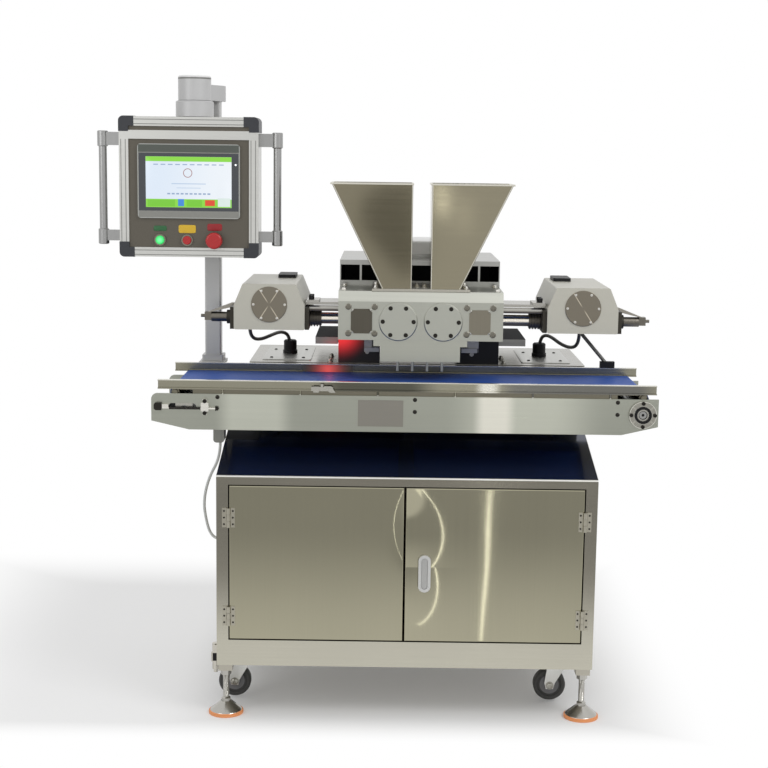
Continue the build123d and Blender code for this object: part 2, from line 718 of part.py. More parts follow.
barrel = [
    (KNOB_X + KNOB_R, clamp_top + 2),
    (CLAMP_RIGHT - 4, clamp_top + 2),
    (CLAMP_RIGHT + 6, RAIL_BOTTOM - 3),
    (CLAMP_RIGHT - 8, RAIL_BOTTOM - 3),
]
clamp += prism_y(barrel, CLAMP_FACE, clamp_front)
fittings.append(clamp)
nodes["conveyor_fittings"] = fittings

# Wiring box hung from the left cross bar
WIRING_Y0 = 198
WIRING_Y1 = 242
WIRING_BOTTOM = 640
WIRING_EDGE_R = 8
WIRING_LEFT = TIE_XS[0] - TIE_W / 2
WIRING_RIGHT = -CAB_HALF - 2
wiring = block(WIRING_LEFT, WIRING_RIGHT, WIRING_Y0, WIRING_Y1, WIRING_BOTTOM, PLATE_BOTTOM)
lower_edges = wiring.edges().filter_by(Axis.Y).group_by(Axis.Z)[0]
nodes["wiring_box"] = [fillet(lower_edges, WIRING_EDGE_R)]

# Deck with two covers, and the cable glands standing on them, each bored for its cable
DECK_BACK = CAB_D - 3
DECK_EDGE_R = 6
COVER_T = 2
COVER_EDGE_R = 5
deck = block(DECK_LEFT, DECK_RIGHT, DECK_FRONT, DECK_BACK, DECK_UNDER, DECK_TOP)
deck = fillet(deck.edges().filter_by(Axis.Z), DECK_EDGE_R)
deck_parts = [deck]
for x in COVER_XS:
    cover = block(x - COVER_W / 2, x + COVER_W / 2, COVER_FRONT, COVER_BACK, DECK_TOP, DECK_TOP + COVER_T)
    deck_parts.append(fillet(cover.edges().filter_by(Axis.Z), COVER_EDGE_R))
nodes["deck_plate"] = deck_parts
GLAND_SKIRT = 2
GLAND_SKIRT_H = 8
GLAND_ROUND = 3
CABLE_R = 4.5
CABLE_SEAT = 12
gland_base = DECK_TOP + COVER_T
gland_top = gland_base + GLAND_H
cable_end = gland_top - CABLE_SEAT
gland_bore = CABLE_R + BODY_GAP
gland_profile = [
    (0, gland_base),
    (GLAND_R + GLAND_SKIRT, gland_base),
    (GLAND_R + GLAND_SKIRT, gland_base + GLAND_SKIRT_H),
    (GLAND_R, gland_base + GLAND_SKIRT_H + 1),
    (GLAND_R, gland_top - GLAND_ROUND),
    (GLAND_R - GLAND_ROUND, gland_top),
    (gland_bore, gland_top),
    (gland_bore, cable_end),
    (0, cable_end),
]
nodes["cable_glands"] = [revolve_z(gland_profile, x, GLAND_Y) for x in (GLAND_LEFT_X, GLAND_RIGHT_X)]

# Pendant post: square tube, base flange and the bracket behind the conveyor
FLANGE_HALF = 27
FLANGE_H = 14
BRACKET_T = 8
BRACKET_HALF = FLANGE_HALF + 5
BRACKET_BACK = POST_Y + FLANGE_HALF + 3
POST_EDGE_R = 4
half = POST_W / 2
hollow = half - POST_WALL
post_base = DECK_TOP + FLANGE_H
post = block(POST_X - half, POST_X + half, POST_Y - half, POST_Y + half, post_base, POST_TOP)
post = fillet(post.edges().filter_by(Axis.Z), POST_EDGE_R)
post -= block(POST_X - hollow, POST_X + hollow, POST_Y - hollow, POST_Y + hollow, post_base, POST_TOP)
flange = Pos(POST_X, POST_Y, DECK_TOP + FLANGE_H / 2) * Box(2 * FLANGE_HALF, 2 * FLANGE_HALF, FLANGE_H)
flange = fillet(flange.edges().filter_by(Axis.Z), POST_EDGE_R)
bracket_left = POST_X - BRACKET_HALF
bracket_right = POST_X + BRACKET_HALF
bracket = block(bracket_left, bracket_right, CONV_D, BRACKET_BACK, DECK_TOP - BRACKET_T, DECK_TOP)
bracket += block(bracket_left, bracket_right, CONV_D, CONV_D + BRACKET_T, PLATE_CUT_Z, DECK_TOP)
nodes["pendant_post"] = [post, flange, bracket]


# Depositing head block with a bevelled top strip, hopper throats and the two piston bores
HEAD_LEFT = HEAD_X - HEAD_HALF
HEAD_RIGHT = HEAD_X + HEAD_HALF
BORE_DEPTH = 110
GROOVE_W = 2
GROOVE_DEPTH = 1
head_profile = [
    (HEAD_FRONT, HEAD_BOTTOM),
    (HEAD_FRONT, BEVEL_Z),
    (HEAD_FRONT + BEVEL_IN, HEAD_TOP),
    (HEAD_BACK, HEAD_TOP),
    (HEAD_BACK, HEAD_TAIL_TOP),
    (HEAD_TAIL, HEAD_TAIL_TOP),
    (HEAD_TAIL, HEAD_BOTTOM),
]
head = prism_x(head_profile, HEAD_LEFT, HEAD_RIGHT)
groove_left = HEAD_X - GROOVE_W / 2
groove_right = HEAD_X + GROOVE_W / 2
head -= block(groove_left, groove_right, HEAD_FRONT, HEAD_FRONT + GROOVE_DEPTH, HEAD_BOTTOM, BEVEL_Z)
THROAT_SIDE = 6
THROAT_END = 10
THROAT_IN = HOPPER_INNER + THROAT_SIDE
THROAT_OUT = HOPPER_OUTER_BOTTOM - THROAT_SIDE
THROAT_FRONT = HOPPER_FRONT + THROAT_END
THROAT_BACK = HOPPER_BACK - THROAT_END
for side in (-1, 1):
    face_x = HEAD_X + side * HEAD_HALF
    head -= rod_x(face_x - side * BORE_DEPTH, face_x, ROD_Y, ROD_Z, ROD_R + RUN_FIT)
    throat_in = HEAD_X + side * THROAT_IN
    throat_out = HEAD_X + side * THROAT_OUT
    head -= block(throat_in, throat_out, THROAT_FRONT, THROAT_BACK, HEAD_TOP - THROAT_DEPTH, HEAD_TOP)
nodes["head_block"] = [head]

# Round valve covers, square side plates
covers = []
for side in (-1, 1):
    x = HEAD_X + side * VALVE_X
    cover = rod_y(x, HEAD_FRONT - VALVE_T, HEAD_FRONT, VALVE_Z, VALVE_R)
    covers.append(chamfer(cover.edges().group_by(Axis.Y)[0], VALVE_EDGE))
nodes["valve_covers"] = covers
SIDE_PLATE_T = 3
NOTCH = 7
dark_plates = []
for side in (-1, 1):
    plate_place = Pos(HEAD_X + side * SIDE_PLATE_X, VALVE_Z)
    outline = plate_place * Rectangle(SIDE_PLATE_W, SIDE_PLATE_H)
    for dx in (-1, 1):
        for dz in (-1, 1):
            corner = plate_place * Pos(dx * SIDE_PLATE_W / 2, dz * SIDE_PLATE_H / 2)
            outline -= corner * Circle(NOTCH)
    dark_plates.append(plate_y(outline, HEAD_FRONT - SIDE_PLATE_T, HEAD_FRONT))
nodes["head_side_plates"] = dark_plates

# Stepped nozzle manifold with its row of nozzles
manifold_outline = [
    (HEAD_X - MANIFOLD_STEP_HALF, HEAD_BOTTOM),
    (HEAD_X - MANIFOLD_STEP_HALF, MANIFOLD_STEP_Z),
    (HEAD_X - MANIFOLD_HALF, MANIFOLD_STEP_Z),
    (HEAD_X - MANIFOLD_HALF, MANIFOLD_BOTTOM),
    (HEAD_X + MANIFOLD_HALF, MANIFOLD_BOTTOM),
    (HEAD_X + MANIFOLD_HALF, MANIFOLD_STEP_Z),
    (HEAD_X + MANIFOLD_STEP_HALF, MANIFOLD_STEP_Z),
    (HEAD_X + MANIFOLD_STEP_HALF, HEAD_BOTTOM),
]
manifold = prism_y(manifold_outline, MANIFOLD_FRONT, MANIFOLD_BACK)
nozzle_first = HEAD_X - NOZZLE_PITCH * (NOZZLE_COUNT - 1) / 2
for i in range(NOZZLE_COUNT):
    x = nozzle_first + NOZZLE_PITCH * i
    manifold += rod_z(x, NOZZLE_Y, NOZZLE_TIP, MANIFOLD_BOTTOM, NOZZLE_R)
for i in range(NOZZLE_COUNT):
    x = nozzle_first + NOZZLE_PITCH * i
    manifold -= rod_z(x, NOZZLE_Y, NOZZLE_TIP, MANIFOLD_STEP_Z, NOZZLE_BORE_R)
nodes["nozzle_manifold"] = [manifold]

# Hopper flange with two openings, and the hoppers: upright inner wall, sloped outer wall, folded corners, rim
HOPPER_BASE = HEAD_TOP + HOPPER_BASE_T
FLANGE_MARGIN = 5
flange_left = HEAD_X - HOPPER_FLANGE_HALF
flange_right = HEAD_X + HOPPER_FLANGE_HALF
flange_front = HOPPER_FRONT - FLANGE_MARGIN
flange_back = HOPPER_BACK + FLANGE_MARGIN
flange = block(flange_left, flange_right, flange_front, flange_back, HEAD_TOP, HOPPER_BASE)
RIM_H = 4
hoppers = []
for side in (-1, 1):
    throat_in = HEAD_X + side * THROAT_IN
    throat_out = HEAD_X + side * THROAT_OUT
    flange -= block(throat_in, throat_out, THROAT_FRONT, THROAT_BACK, HEAD_TOP, HOPPER_BASE)
    slope = (HOPPER_OUTER_TOP - HOPPER_OUTER_BOTTOM) / (HOPPER_TOP - HOPPER_BASE)
    wall_x = HOPPER_SHEET * math.sqrt(1 + slope**2)
    outer = [
        (HEAD_X + side * HOPPER_INNER, HOPPER_BASE),
        (HEAD_X + side * HOPPER_OUTER_BOTTOM, HOPPER_BASE),
        (HEAD_X + side * HOPPER_OUTER_TOP, HOPPER_TOP),
        (HEAD_X + side * HOPPER_INNER, HOPPER_TOP),
    ]
    inner = [
        (HEAD_X + side * (HOPPER_INNER + HOPPER_SHEET), HOPPER_BASE),
        (HEAD_X + side * (HOPPER_OUTER_BOTTOM - wall_x), HOPPER_BASE),
        (HEAD_X + side * (HOPPER_OUTER_TOP - wall_x), HOPPER_TOP),
        (HEAD_X + side * (HOPPER_INNER + HOPPER_SHEET), HOPPER_TOP),
    ]
    hopper = prism_y(outer, HOPPER_FRONT, HOPPER_BACK)
    corners = [edge for edge in hopper.edges() if abs((edge @ 1).Z - (edge @ 0).Z) > HOPPER_SHEET]
    hopper = fillet(corners, HOPPER_EDGE_R)
    rim_in = HEAD_X + side * (HOPPER_INNER - HOPPER_SHEET)
    rim_out = HEAD_X + side * (HOPPER_OUTER_TOP + HOPPER_SHEET)
    hopper += block(
        rim_in, rim_out, HOPPER_FRONT - HOPPER_SHEET, HOPPER_BACK + HOPPER_SHEET, HOPPER_TOP - RIM_H, HOPPER_TOP
    )
    hopper -= prism_y(inner, HOPPER_FRONT + HOPPER_SHEET, HOPPER_BACK - HOPPER_SHEET)
    hoppers.append(hopper)
nodes["hopper_flange"] = [flange]
nodes["hoppers"] = hoppers

# Pedestals under the back of the head, each with a clamp on its front
GRIP_T = 14
GRIP_LIP = 6
GRIP_STEP_Z = 870
GRIP_LOW = 859
# Reach of the upper and lower clamp blocks from the pedestal's inner side, for the left and the right one
GRIP_UPPER = {-1: (20, 39), 1: (25, 53)}
GRIP_LOWER = {-1: (2, 39), 1: (10, 49)}
pedestals = []
for side in (-1, 1):
    near = HEAD_X + side * PEDESTAL_IN
    far = HEAD_X + side * PEDESTAL_OUT
    pedestals.append(block(near, far, PEDESTAL_FRONT, PEDESTAL_BACK, DECK_TOP, HEAD_BOTTOM))
    upper = [near + side * reach for reach in GRIP_UPPER[side]]
    lower = [near + side * reach for reach in GRIP_LOWER[side]]
    grip_front = PEDESTAL_FRONT - GRIP_T
    grip = block(*upper, grip_front, PEDESTAL_FRONT, GRIP_STEP_Z, HEAD_BOTTOM)
    grip += block(*lower, grip_front - GRIP_LIP, PEDESTAL_FRONT, GRIP_LOW, GRIP_STEP_Z)
    pedestals.append(grip)
nodes["head_pedestals"] = pedestals

# Rear hood: folded cover over the back of the head, open to the front, with uprights and a raised box
HOOD_T = 2.5
hood_profile = [
    (HEAD_BACK, HEAD_TAIL_TOP),
    (HEAD_BACK, HOOD_TOP),
    (HOOD_BACK, HOOD_TOP),
    (HOOD_BACK, CHASSIS_TOP),
    (HEAD_TAIL, CHASSIS_TOP),
    (HEAD_TAIL, HEAD_TAIL_TOP),
]
hood_inner = [
    (HEAD_BACK, HEAD_TAIL_TOP),
    (HEAD_BACK, HOOD_TOP - HOOD_T),
    (HOOD_BACK - HOOD_T, HOOD_TOP - HOOD_T),
    (HOOD_BACK - HOOD_T, CHASSIS_TOP),
    (HEAD_TAIL, CHASSIS_TOP),
    (HEAD_TAIL, HEAD_TAIL_TOP),
]
hood = prism_x(hood_profile, HEAD_X - HOOD_HALF, HEAD_X + HOOD_HALF)
hood -= prism_x(hood_inner, HEAD_X - HOOD_HALF + HOOD_T, HEAD_X + HOOD_HALF - HOOD_T)
SILL_TOP = 1039
hood_front = HEAD_BACK + HOOD_T
for low, high in ((HEAD_TAIL_TOP, SILL_TOP), (HOOD_TOP - HOOD_LIP, HOOD_TOP)):
    hood += block(HEAD_X - HOOD_HALF, HEAD_X + HOOD_HALF, HEAD_BACK, hood_front, low, high)
UPRIGHT_X = 148
UPRIGHT_W = 5
for side in (-1, 1):
    x0 = HEAD_X + side * UPRIGHT_X - UPRIGHT_W / 2
    hood += block(x0, x0 + UPRIGHT_W, HEAD_BACK, HEAD_BACK + UPRIGHT_W, SILL_TOP, HOOD_TOP - HOOD_LIP)
BOX_HALF = 110
BOX_FRONT = 400
BOX_BACK = 600
BOX_TOP = 1133
BOX_EDGE_R = 5
raised = block(HEAD_X - BOX_HALF, HEAD_X + BOX_HALF, BOX_FRONT, BOX_BACK, HOOD_TOP, BOX_TOP)
hood += fillet(raised.edges().filter_by(Axis.X).group_by(Axis.Z)[-1], BOX_EDGE_R)
nodes["rear_hood"] = [hood]

# Rear chassis: raised plate with a wing beside each pedestal, on two bearers behind the pedestals
CHASSIS_SET_BACK = 30
WING_GAP = 4
BEARER_IN = PEDESTAL_IN + 12
BEARER_OUT = PEDESTAL_OUT - 5
BEARER_BACK = HOOD_BACK - 10
plate_front = CHASSIS_FRONT + CHASSIS_SET_BACK
chassis = block(CHASSIS_LEFT, CHASSIS_RIGHT, plate_front, HOOD_BACK, CHASSIS_BOTTOM, CHASSIS_TOP)
for side, far in ((-1, CHASSIS_LEFT), (1, CHASSIS_RIGHT)):
    near = HEAD_X + side * (PEDESTAL_OUT + WING_GAP)
    chassis += block(far, near, CHASSIS_FRONT, plate_front, CHASSIS_BOTTOM, CHASSIS_TOP)
    bearer_in = HEAD_X + side * BEARER_IN
    bearer_out = HEAD_X + side * BEARER_OUT
    chassis += block(bearer_in, bearer_out, plate_front, BEARER_BACK, DECK_TOP, CHASSIS_BOTTOM)
nodes["rear_chassis"] = [chassis]


# Piston drives: tapered housings with a round cover, end flanges, guides, tails and sliding rods
DRIVE_BACK = DRIVE_FRONT + DRIVE_DEPTH
DRIVE_EDGE_R = 4
COVER_PROUD = 3
END_T = 10
END_TOP = DRIVE_SHOULDER - 6
END_FRONT = DRIVE_FRONT + 8
END_BACK = DRIVE_BACK - 60
COLLAR_R = 21
COLLAR_CORE_R = COLLAR_R - 3
COLLAR_RIBS = 4
COLLAR_PITCH = 7
RIB_SHARE = 0.5
ROD_IN_HEAD = 40
ROD_IN_DRIVE = 45
BORE_SPARE = 15
DRIVE_BORE = ROD_IN_DRIVE + STROKE + BORE_SPARE
CAP_FROM = 8
CAP_TO = 52
CAP_FRONT = DRIVE_BACK - 110
CAP_BACK = DRIVE_BACK - 20
CAP_H = 8
CAP_EDGE_R = 6
BRIDGE_FRONT = DRIVE_FRONT + 40
BRIDGE_BACK = DRIVE_FRONT + 140
BRIDGE_LOW = DRIVE_SHOULDER - 1
BRIDGE_HIGH = DRIVE_SHOULDER + 6
FLAG_FROM = 4
FLAG_TO = 34
FLAG_FRONT = DRIVE_FRONT + 24
FLAG_BACK = DRIVE_FRONT + 92
FLAG_T = 6
FLAG_KNOB_R = 6
FLAG_KNOB_H = 10
FLAG_KNOB_IN = 14
FLAG_KNOB_YS = (DRIVE_FRONT + 44, DRIVE_FRONT + 72)
SOCKET_L = 14
SOCKET_R = 17
CYLINDER_R = 12
CLEVIS_FROM = 26
CLEVIS_TO = 10
CLEVIS_HALF = 11
CLEVIS_LOW = ROD_Z - 8
CLEVIS_HIGH = ROD_Z + 12
TIP_R = 4
TIP_Z = ROD_Z + 2
GUSSET_HALF = 10
GUSSET_TOP = DRIVE_SHOULDER - 2
GUSSET_H = 8
GUSSET_FLAT = 12
GUSSET_END = (18, 24)
housings = []
drive_covers = []
black_parts = []
guide_parts = []
pistons = []
for side, centre in ((-1, DRIVE_LEFT_X), (1, DRIVE_RIGHT_X)):
    inner = centre - side * DRIVE_HALF
    outer = centre + side * DRIVE_HALF
    head_face = HEAD_X + side * HEAD_HALF
    outline = [
        (inner, DRIVE_BOTTOM),
        (inner, DRIVE_SHOULDER),
        (centre - side * DRIVE_TOP_HALF, DRIVE_TOP),
        (centre + side * DRIVE_TOP_HALF, DRIVE_TOP),
        (outer, DRIVE_SHOULDER),
        (outer, DRIVE_BOTTOM),
    ]
    housing = prism_y(outline, DRIVE_FRONT, DRIVE_BACK)
    housing = fillet(housing.edges().filter_by(Axis.Y), DRIVE_EDGE_R)
    housing -= rod_x(inner, inner + side * DRIVE_BORE, ROD_Y, ROD_Z, ROD_R + RUN_FIT)
    housings.append(housing)
    disc = rod_y(centre, DRIVE_FRONT - COVER_PROUD, DRIVE_FRONT, DRIVE_COVER_Z, DRIVE_COVER_R)
    drive_covers.append(chamfer(disc.edges().group_by(Axis.Y)[0], 1))

    # Black end flanges, ribbed collar round the rod, cap on the housing top, flag knobs
    collar_start = inner - side * END_T
    collar_end = collar_start - side * COLLAR_PITCH * COLLAR_RIBS
    inner_end = block(inner, collar_start, END_FRONT, END_BACK, DRIVE_BOTTOM, END_TOP)
    inner_end += rod_x(collar_start, collar_end, ROD_Y, ROD_Z, COLLAR_CORE_R)
    for rib in range(COLLAR_RIBS):
        rib_x = collar_start - side * (rib + RIB_SHARE / 2) * COLLAR_PITCH
        inner_end += rod_x(rib_x, rib_x - side * COLLAR_PITCH * RIB_SHARE, ROD_Y, ROD_Z, COLLAR_R)
    inner_end -= rod_x(inner, collar_end, ROD_Y, ROD_Z, ROD_R + BODY_GAP)
    tail_start = outer + side * END_T
    cylinder_start = tail_start + side * SOCKET_L
    outer_end = block(outer, tail_start, END_FRONT, END_BACK, DRIVE_BOTTOM, END_TOP)
    outer_end += rod_x(tail_start, cylinder_start, ROD_Y, ROD_Z, SOCKET_R)
    cap_in = centre - side * CAP_FROM
    cap_out = centre - side * CAP_TO
    cap = block(cap_in, cap_out, CAP_FRONT, CAP_BACK, DRIVE_TOP, DRIVE_TOP + CAP_H)
    black_parts += [inner_end, outer_end, fillet(cap.edges().filter_by(Axis.Z), CAP_EDGE_R)]
    flag_low = BRIDGE_HIGH
    flag_high = flag_low + FLAG_T
    knob_x = inner - side * FLAG_KNOB_IN
    for y in FLAG_KNOB_YS:
        black_parts.append(rod_z(knob_x, y, flag_high, flag_high + FLAG_KNOB_H, FLAG_KNOB_R))

    # Steel guides between head and housing, flag plate, outer tail with gusset
    for y, z in GUIDE_PLACES:
        guide_parts.append(rod_x(head_face, collar_start, y, z, GUIDE_R))
    guide_parts.append(block(head_face, inner, BRIDGE_FRONT, BRIDGE_BACK, BRIDGE_LOW, BRIDGE_HIGH))
    flag_in = inner - side * FLAG_FROM
    flag_out = inner - side * FLAG_TO
    guide_parts.append(block(flag_in, flag_out, FLAG_FRONT, FLAG_BACK, flag_low, flag_high))
    tail_end = outer + side * TAIL_LENGTH
    clevis_in = tail_end - side * CLEVIS_FROM
    clevis_out = tail_end - side * CLEVIS_TO
    tail = rod_x(cylinder_start, clevis_in, ROD_Y, ROD_Z, CYLINDER_R)
    tail += block(clevis_in, clevis_out, ROD_Y - CLEVIS_HALF, ROD_Y + CLEVIS_HALF, CLEVIS_LOW, CLEVIS_HIGH)
    tail += rod_x(clevis_out, tail_end, ROD_Y, TIP_Z, TIP_R)
    gusset_points = [
        (outer, GUSSET_TOP),
        (outer, GUSSET_TOP - GUSSET_H),
        (tail_end - side * GUSSET_END[0], CLEVIS_HIGH),
        (tail_end - side * GUSSET_END[1], CLEVIS_HIGH),
        (outer + side * GUSSET_FLAT, GUSSET_TOP),
    ]
    tail += prism_y(gusset_points, ROD_Y - GUSSET_HALF, ROD_Y + GUSSET_HALF)
    guide_parts.append(tail)
    rod_end = inner + side * ROD_IN_DRIVE
    pistons.append(rod_x(head_face - side * ROD_IN_HEAD, rod_end, ROD_Y, ROD_Z, ROD_R))
nodes["drive_housings"] = housings
nodes["drive_covers"] = drive_covers
nodes["drive_flanges"] = black_parts
nodes["drive_guides"] = guide_parts
nodes["piston_left"] = [pistons[0]]
nodes["piston_right"] = [pistons[1]]

# Stay rod from the right housing down to a clamp on the rear rail
STAY_X = DRIVE_RIGHT_X + 4
STAY_Y = 325
STAY_R = 4.5
STAY_FOOT_R = 8
STAY_FOOT_H = 6
STAY_CLAMP_X = 503
STAY_CLAMP_HALF = 18
STAY_CLAMP_H = 16
STAY_CLAMP_FRONT = CONV_D - 14
STAY_CLAMP_BACK = CONV_D + 2
STAY_IN_CLAMP = (STAY_CLAMP_X, CONV_D - 6, RAIL_TOP + STAY_CLAMP_H / 2)
clamp_left = STAY_CLAMP_X - STAY_CLAMP_HALF
clamp_right = STAY_CLAMP_X + STAY_CLAMP_HALF
stay = rod_between((STAY_X, STAY_Y, DRIVE_BOTTOM), STAY_IN_CLAMP, STAY_R)
stay += rod_z(STAY_X, STAY_Y, DRIVE_BOTTOM - STAY_FOOT_H, DRIVE_BOTTOM, STAY_FOOT_R)
stay += block(clamp_left, clamp_right, STAY_CLAMP_FRONT, STAY_CLAMP_BACK, RAIL_TOP, RAIL_TOP + STAY_CLAMP_H)
stay -= rod_z(STAY_X, STAY_Y, DRIVE_BOTTOM, DRIVE_TOP, STAY_FOOT_R)
nodes["stay_rod"] = [stay]

# Air inlet valve on the left side of the cabinet: pipe, body, tail pipe, elbow and a quarter-turn lever
VALVE_AXIS_X = -464
VALVE_AXIS_Y = 100
INLET_Z = 146
INLET_R = 7
PIPE_LOW = 92
PIPE_HIGH = 158
PIPE_R = 8
BODY_LOW = 112
BODY_HIGH = 134
BODY_R = 11
DRAIN_LOW = 84
DRAIN_R = 5
air_valve = rod_z(VALVE_AXIS_X, VALVE_AXIS_Y, PIPE_LOW, PIPE_HIGH, PIPE_R)
air_valve += rod_z(VALVE_AXIS_X, VALVE_AXIS_Y, BODY_LOW, BODY_HIGH, BODY_R)
air_valve += rod_x(-CAB_HALF, VALVE_AXIS_X, VALVE_AXIS_Y, INLET_Z, INLET_R)
air_valve += rod_z(VALVE_AXIS_X, VALVE_AXIS_Y, DRAIN_LOW, PIPE_LOW, DRAIN_R)
nodes["air_valve"] = [air_valve]
LEVER_BOSS_Y = VALVE_AXIS_Y - BODY_R
LEVER_BOSS_L = 8
LEVER_HALF = 5
LEVER_ARM_T = 3
LEVER_ARM = 34
LEVER_Z = (BODY_LOW + BODY_HIGH) / 2
lever_front = LEVER_BOSS_Y - LEVER_BOSS_L
lever_left = VALVE_AXIS_X - LEVER_HALF
lever_right = VALVE_AXIS_X + LEVER_HALF
lever_top = LEVER_Z + LEVER_ARM
valve_lever = rod_y(VALVE_AXIS_X, lever_front, LEVER_BOSS_Y - BODY_GAP, LEVER_Z, LEVER_HALF)
lever_low = LEVER_Z - LEVER_HALF
valve_lever += block(lever_left, lever_right, lever_front, lever_front + LEVER_ARM_T, lever_low, lever_top)
nodes["air_valve_lever"] = [valve_lever]


# Pendant frame: four bars, a lid rail, four rounded corner caps
PANEL_LEFT = PANEL_X - PANEL_SIZE / 2
PANEL_RIGHT = PANEL_X + PANEL_SIZE / 2
PANEL_TOP = PANEL_BOTTOM + PANEL_SIZE
PANEL_BACK = PANEL_FRONT + PANEL_D
BAR_INSET = 1
CAP_CORNER_R = 12
FACE_Y = PANEL_FRONT + FACE_RECESS
bar_front = PANEL_FRONT + BAR_INSET
bar_back = PANEL_BACK - BAR_INSET
bar_depth = BAR_W - BAR_INSET
bars = []
for low in (PANEL_BOTTOM + BAR_INSET, PANEL_TOP - BAR_W):
    bars.append(block(PANEL_LEFT + CAP_W, PANEL_RIGHT - CAP_W, bar_front, bar_back, low, low + bar_depth))
for low in (PANEL_LEFT + BAR_INSET, PANEL_RIGHT - BAR_W):
    bars.append(block(low, low + bar_depth, bar_front, bar_back, PANEL_BOTTOM + CAP_W, PANEL_TOP - CAP_W))
bars.append(block(PANEL_LEFT + BAR_W, PANEL_RIGHT - BAR_W, bar_front, FACE_Y, LID_RAIL_BOTTOM, LID_RAIL_TOP))
nodes["pendant_frame"] = bars
caps = []
for dx in (-1, 1):
    for dz in (-1, 1):
        x = PANEL_X + dx * PANEL_SIZE / 2
        z = (PANEL_BOTTOM + PANEL_TOP) / 2 + dz * PANEL_SIZE / 2
        cap = block(x, x - dx * CAP_W, PANEL_FRONT, PANEL_BACK, z, z - dz * CAP_W)
        outer_edge = cap.edges().filter_by(Axis.Y).sort_by_distance((x, PANEL_FRONT, z))[0]
        cap = fillet(outer_edge, CAP_CORNER_R)
        cap -= block(x - dx * BAR_W, x - dx * CAP_W, PANEL_FRONT, PANEL_BACK, z - dz * BAR_W, z - dz * CAP_W)
        caps.append(cap)
nodes["pendant_corners"] = caps

# Pendant panel: recessed face, back plate and the rings round the three controls
FACE_T = 3
BACK_INSET = 3
BUTTON_R = 10.5
RING_R = 14
RING_T = 5
STOP_R = 20
STOP_NECK_R = 9
PUSH = 4
inside = (PANEL_LEFT + BAR_W, PANEL_RIGHT - BAR_W)
inside_low = PANEL_BOTTOM + BAR_W
inside_high = PANEL_TOP - BAR_W
face = block(*inside, FACE_Y, FACE_Y + FACE_T, inside_low, inside_high)
rings = []
for x in BUTTON_XS:
    face -= rod_y(x, FACE_Y, FACE_Y + FACE_T, BUTTON_Z, BUTTON_R + BODY_GAP)
    ring = rod_y(x, FACE_Y - RING_T, FACE_Y, BUTTON_Z, RING_R)
    rings.append(ring - rod_y(x, FACE_Y - RING_T, FACE_Y, BUTTON_Z, BUTTON_R + BODY_GAP))
back_plate = block(*inside, PANEL_BACK - BACK_INSET - FACE_T, PANEL_BACK - BACK_INSET, inside_low, inside_high)
nodes["pendant_panel"] = [face, back_plate] + rings

# Display: rounded bezel with the glass let into it
BEZEL_T = 7
BEZEL_CORNER_R = 8
GLASS_T = 1.5
GLASS_W = BEZEL_W - 2 * GLASS_SIDE
GLASS_H = BEZEL_H - GLASS_ABOVE - GLASS_BELOW
glass_z = BEZEL_BOTTOM + GLASS_BELOW + GLASS_H / 2
bezel_z = BEZEL_BOTTOM + BEZEL_H / 2
bezel_front = FACE_Y - BEZEL_T
bezel = plate_y(Pos(PANEL_X, bezel_z) * RectangleRounded(BEZEL_W, BEZEL_H, BEZEL_CORNER_R), bezel_front, FACE_Y)
glass = plate_y(Pos(PANEL_X, glass_z) * Rectangle(GLASS_W, GLASS_H), bezel_front, bezel_front + GLASS_T)
nodes["pendant_display"] = [bezel - glass, glass]

# Start and stop buttons and the mushroom emergency stop
BUTTON_BACK = FACE_Y + 12
BUTTON_EDGE = 1.5
STOP_H = 14
STOP_EDGE_R = 5
button_front = FACE_Y - RING_T - PUSH - 1
for name, x in zip(("start_button", "stop_button"), BUTTON_XS):
    button = rod_y(x, button_front, BUTTON_BACK, BUTTON_Z, BUTTON_R)
    nodes[name] = [chamfer(button.edges().group_by(Axis.Y)[0], BUTTON_EDGE)]
stop_back = button_front - 1
mushroom = rod_y(BUTTON_XS[2], stop_back - STOP_H, stop_back, BUTTON_Z, STOP_R)
mushroom = fillet(mushroom.edges().group_by(Axis.Y)[0], STOP_EDGE_R)
mushroom += rod_y(BUTTON_XS[2], stop_back, BUTTON_BACK, BUTTON_Z, STOP_NECK_R)
nodes["emergency_stop"] = [mushroom]

# Side handles: upright rods with an end sleeve and a bracket at top and bottom
HANDLE_Y = PANEL_FRONT + 30
SLEEVE_EDGE = 2
BRACKET_HALF_Y = 8
BRACKET_INSET = 3
bracket_front = HANDLE_Y - BRACKET_HALF_Y
bracket_back = HANDLE_Y + BRACKET_HALF_Y
handles = []
for side in (-1, 1):
    edge = PANEL_X + side * (PANEL_SIZE / 2 - BAR_INSET)
    tube_x = PANEL_X + side * (PANEL_SIZE / 2 + HANDLE_OUT - SLEEVE_R)
    grip = rod_z(tube_x, HANDLE_Y, HANDLE_BOTTOM, HANDLE_TOP, HANDLE_R)
    for low in (HANDLE_BOTTOM, HANDLE_TOP - SLEEVE_H):
        high = low + SLEEVE_H
        sleeve = rod_z(tube_x, HANDLE_Y, low, high, SLEEVE_R)
        grip += chamfer(sleeve.edges(), SLEEVE_EDGE)
        bracket_low = max(low + BRACKET_INSET, PANEL_BOTTOM + CAP_W + 1)
        bracket_high = high - BRACKET_INSET
        grip += block(edge, tube_x, bracket_front, bracket_back, bracket_low, bracket_high)
    handles.append(grip)
nodes["pendant_handles"] = handles

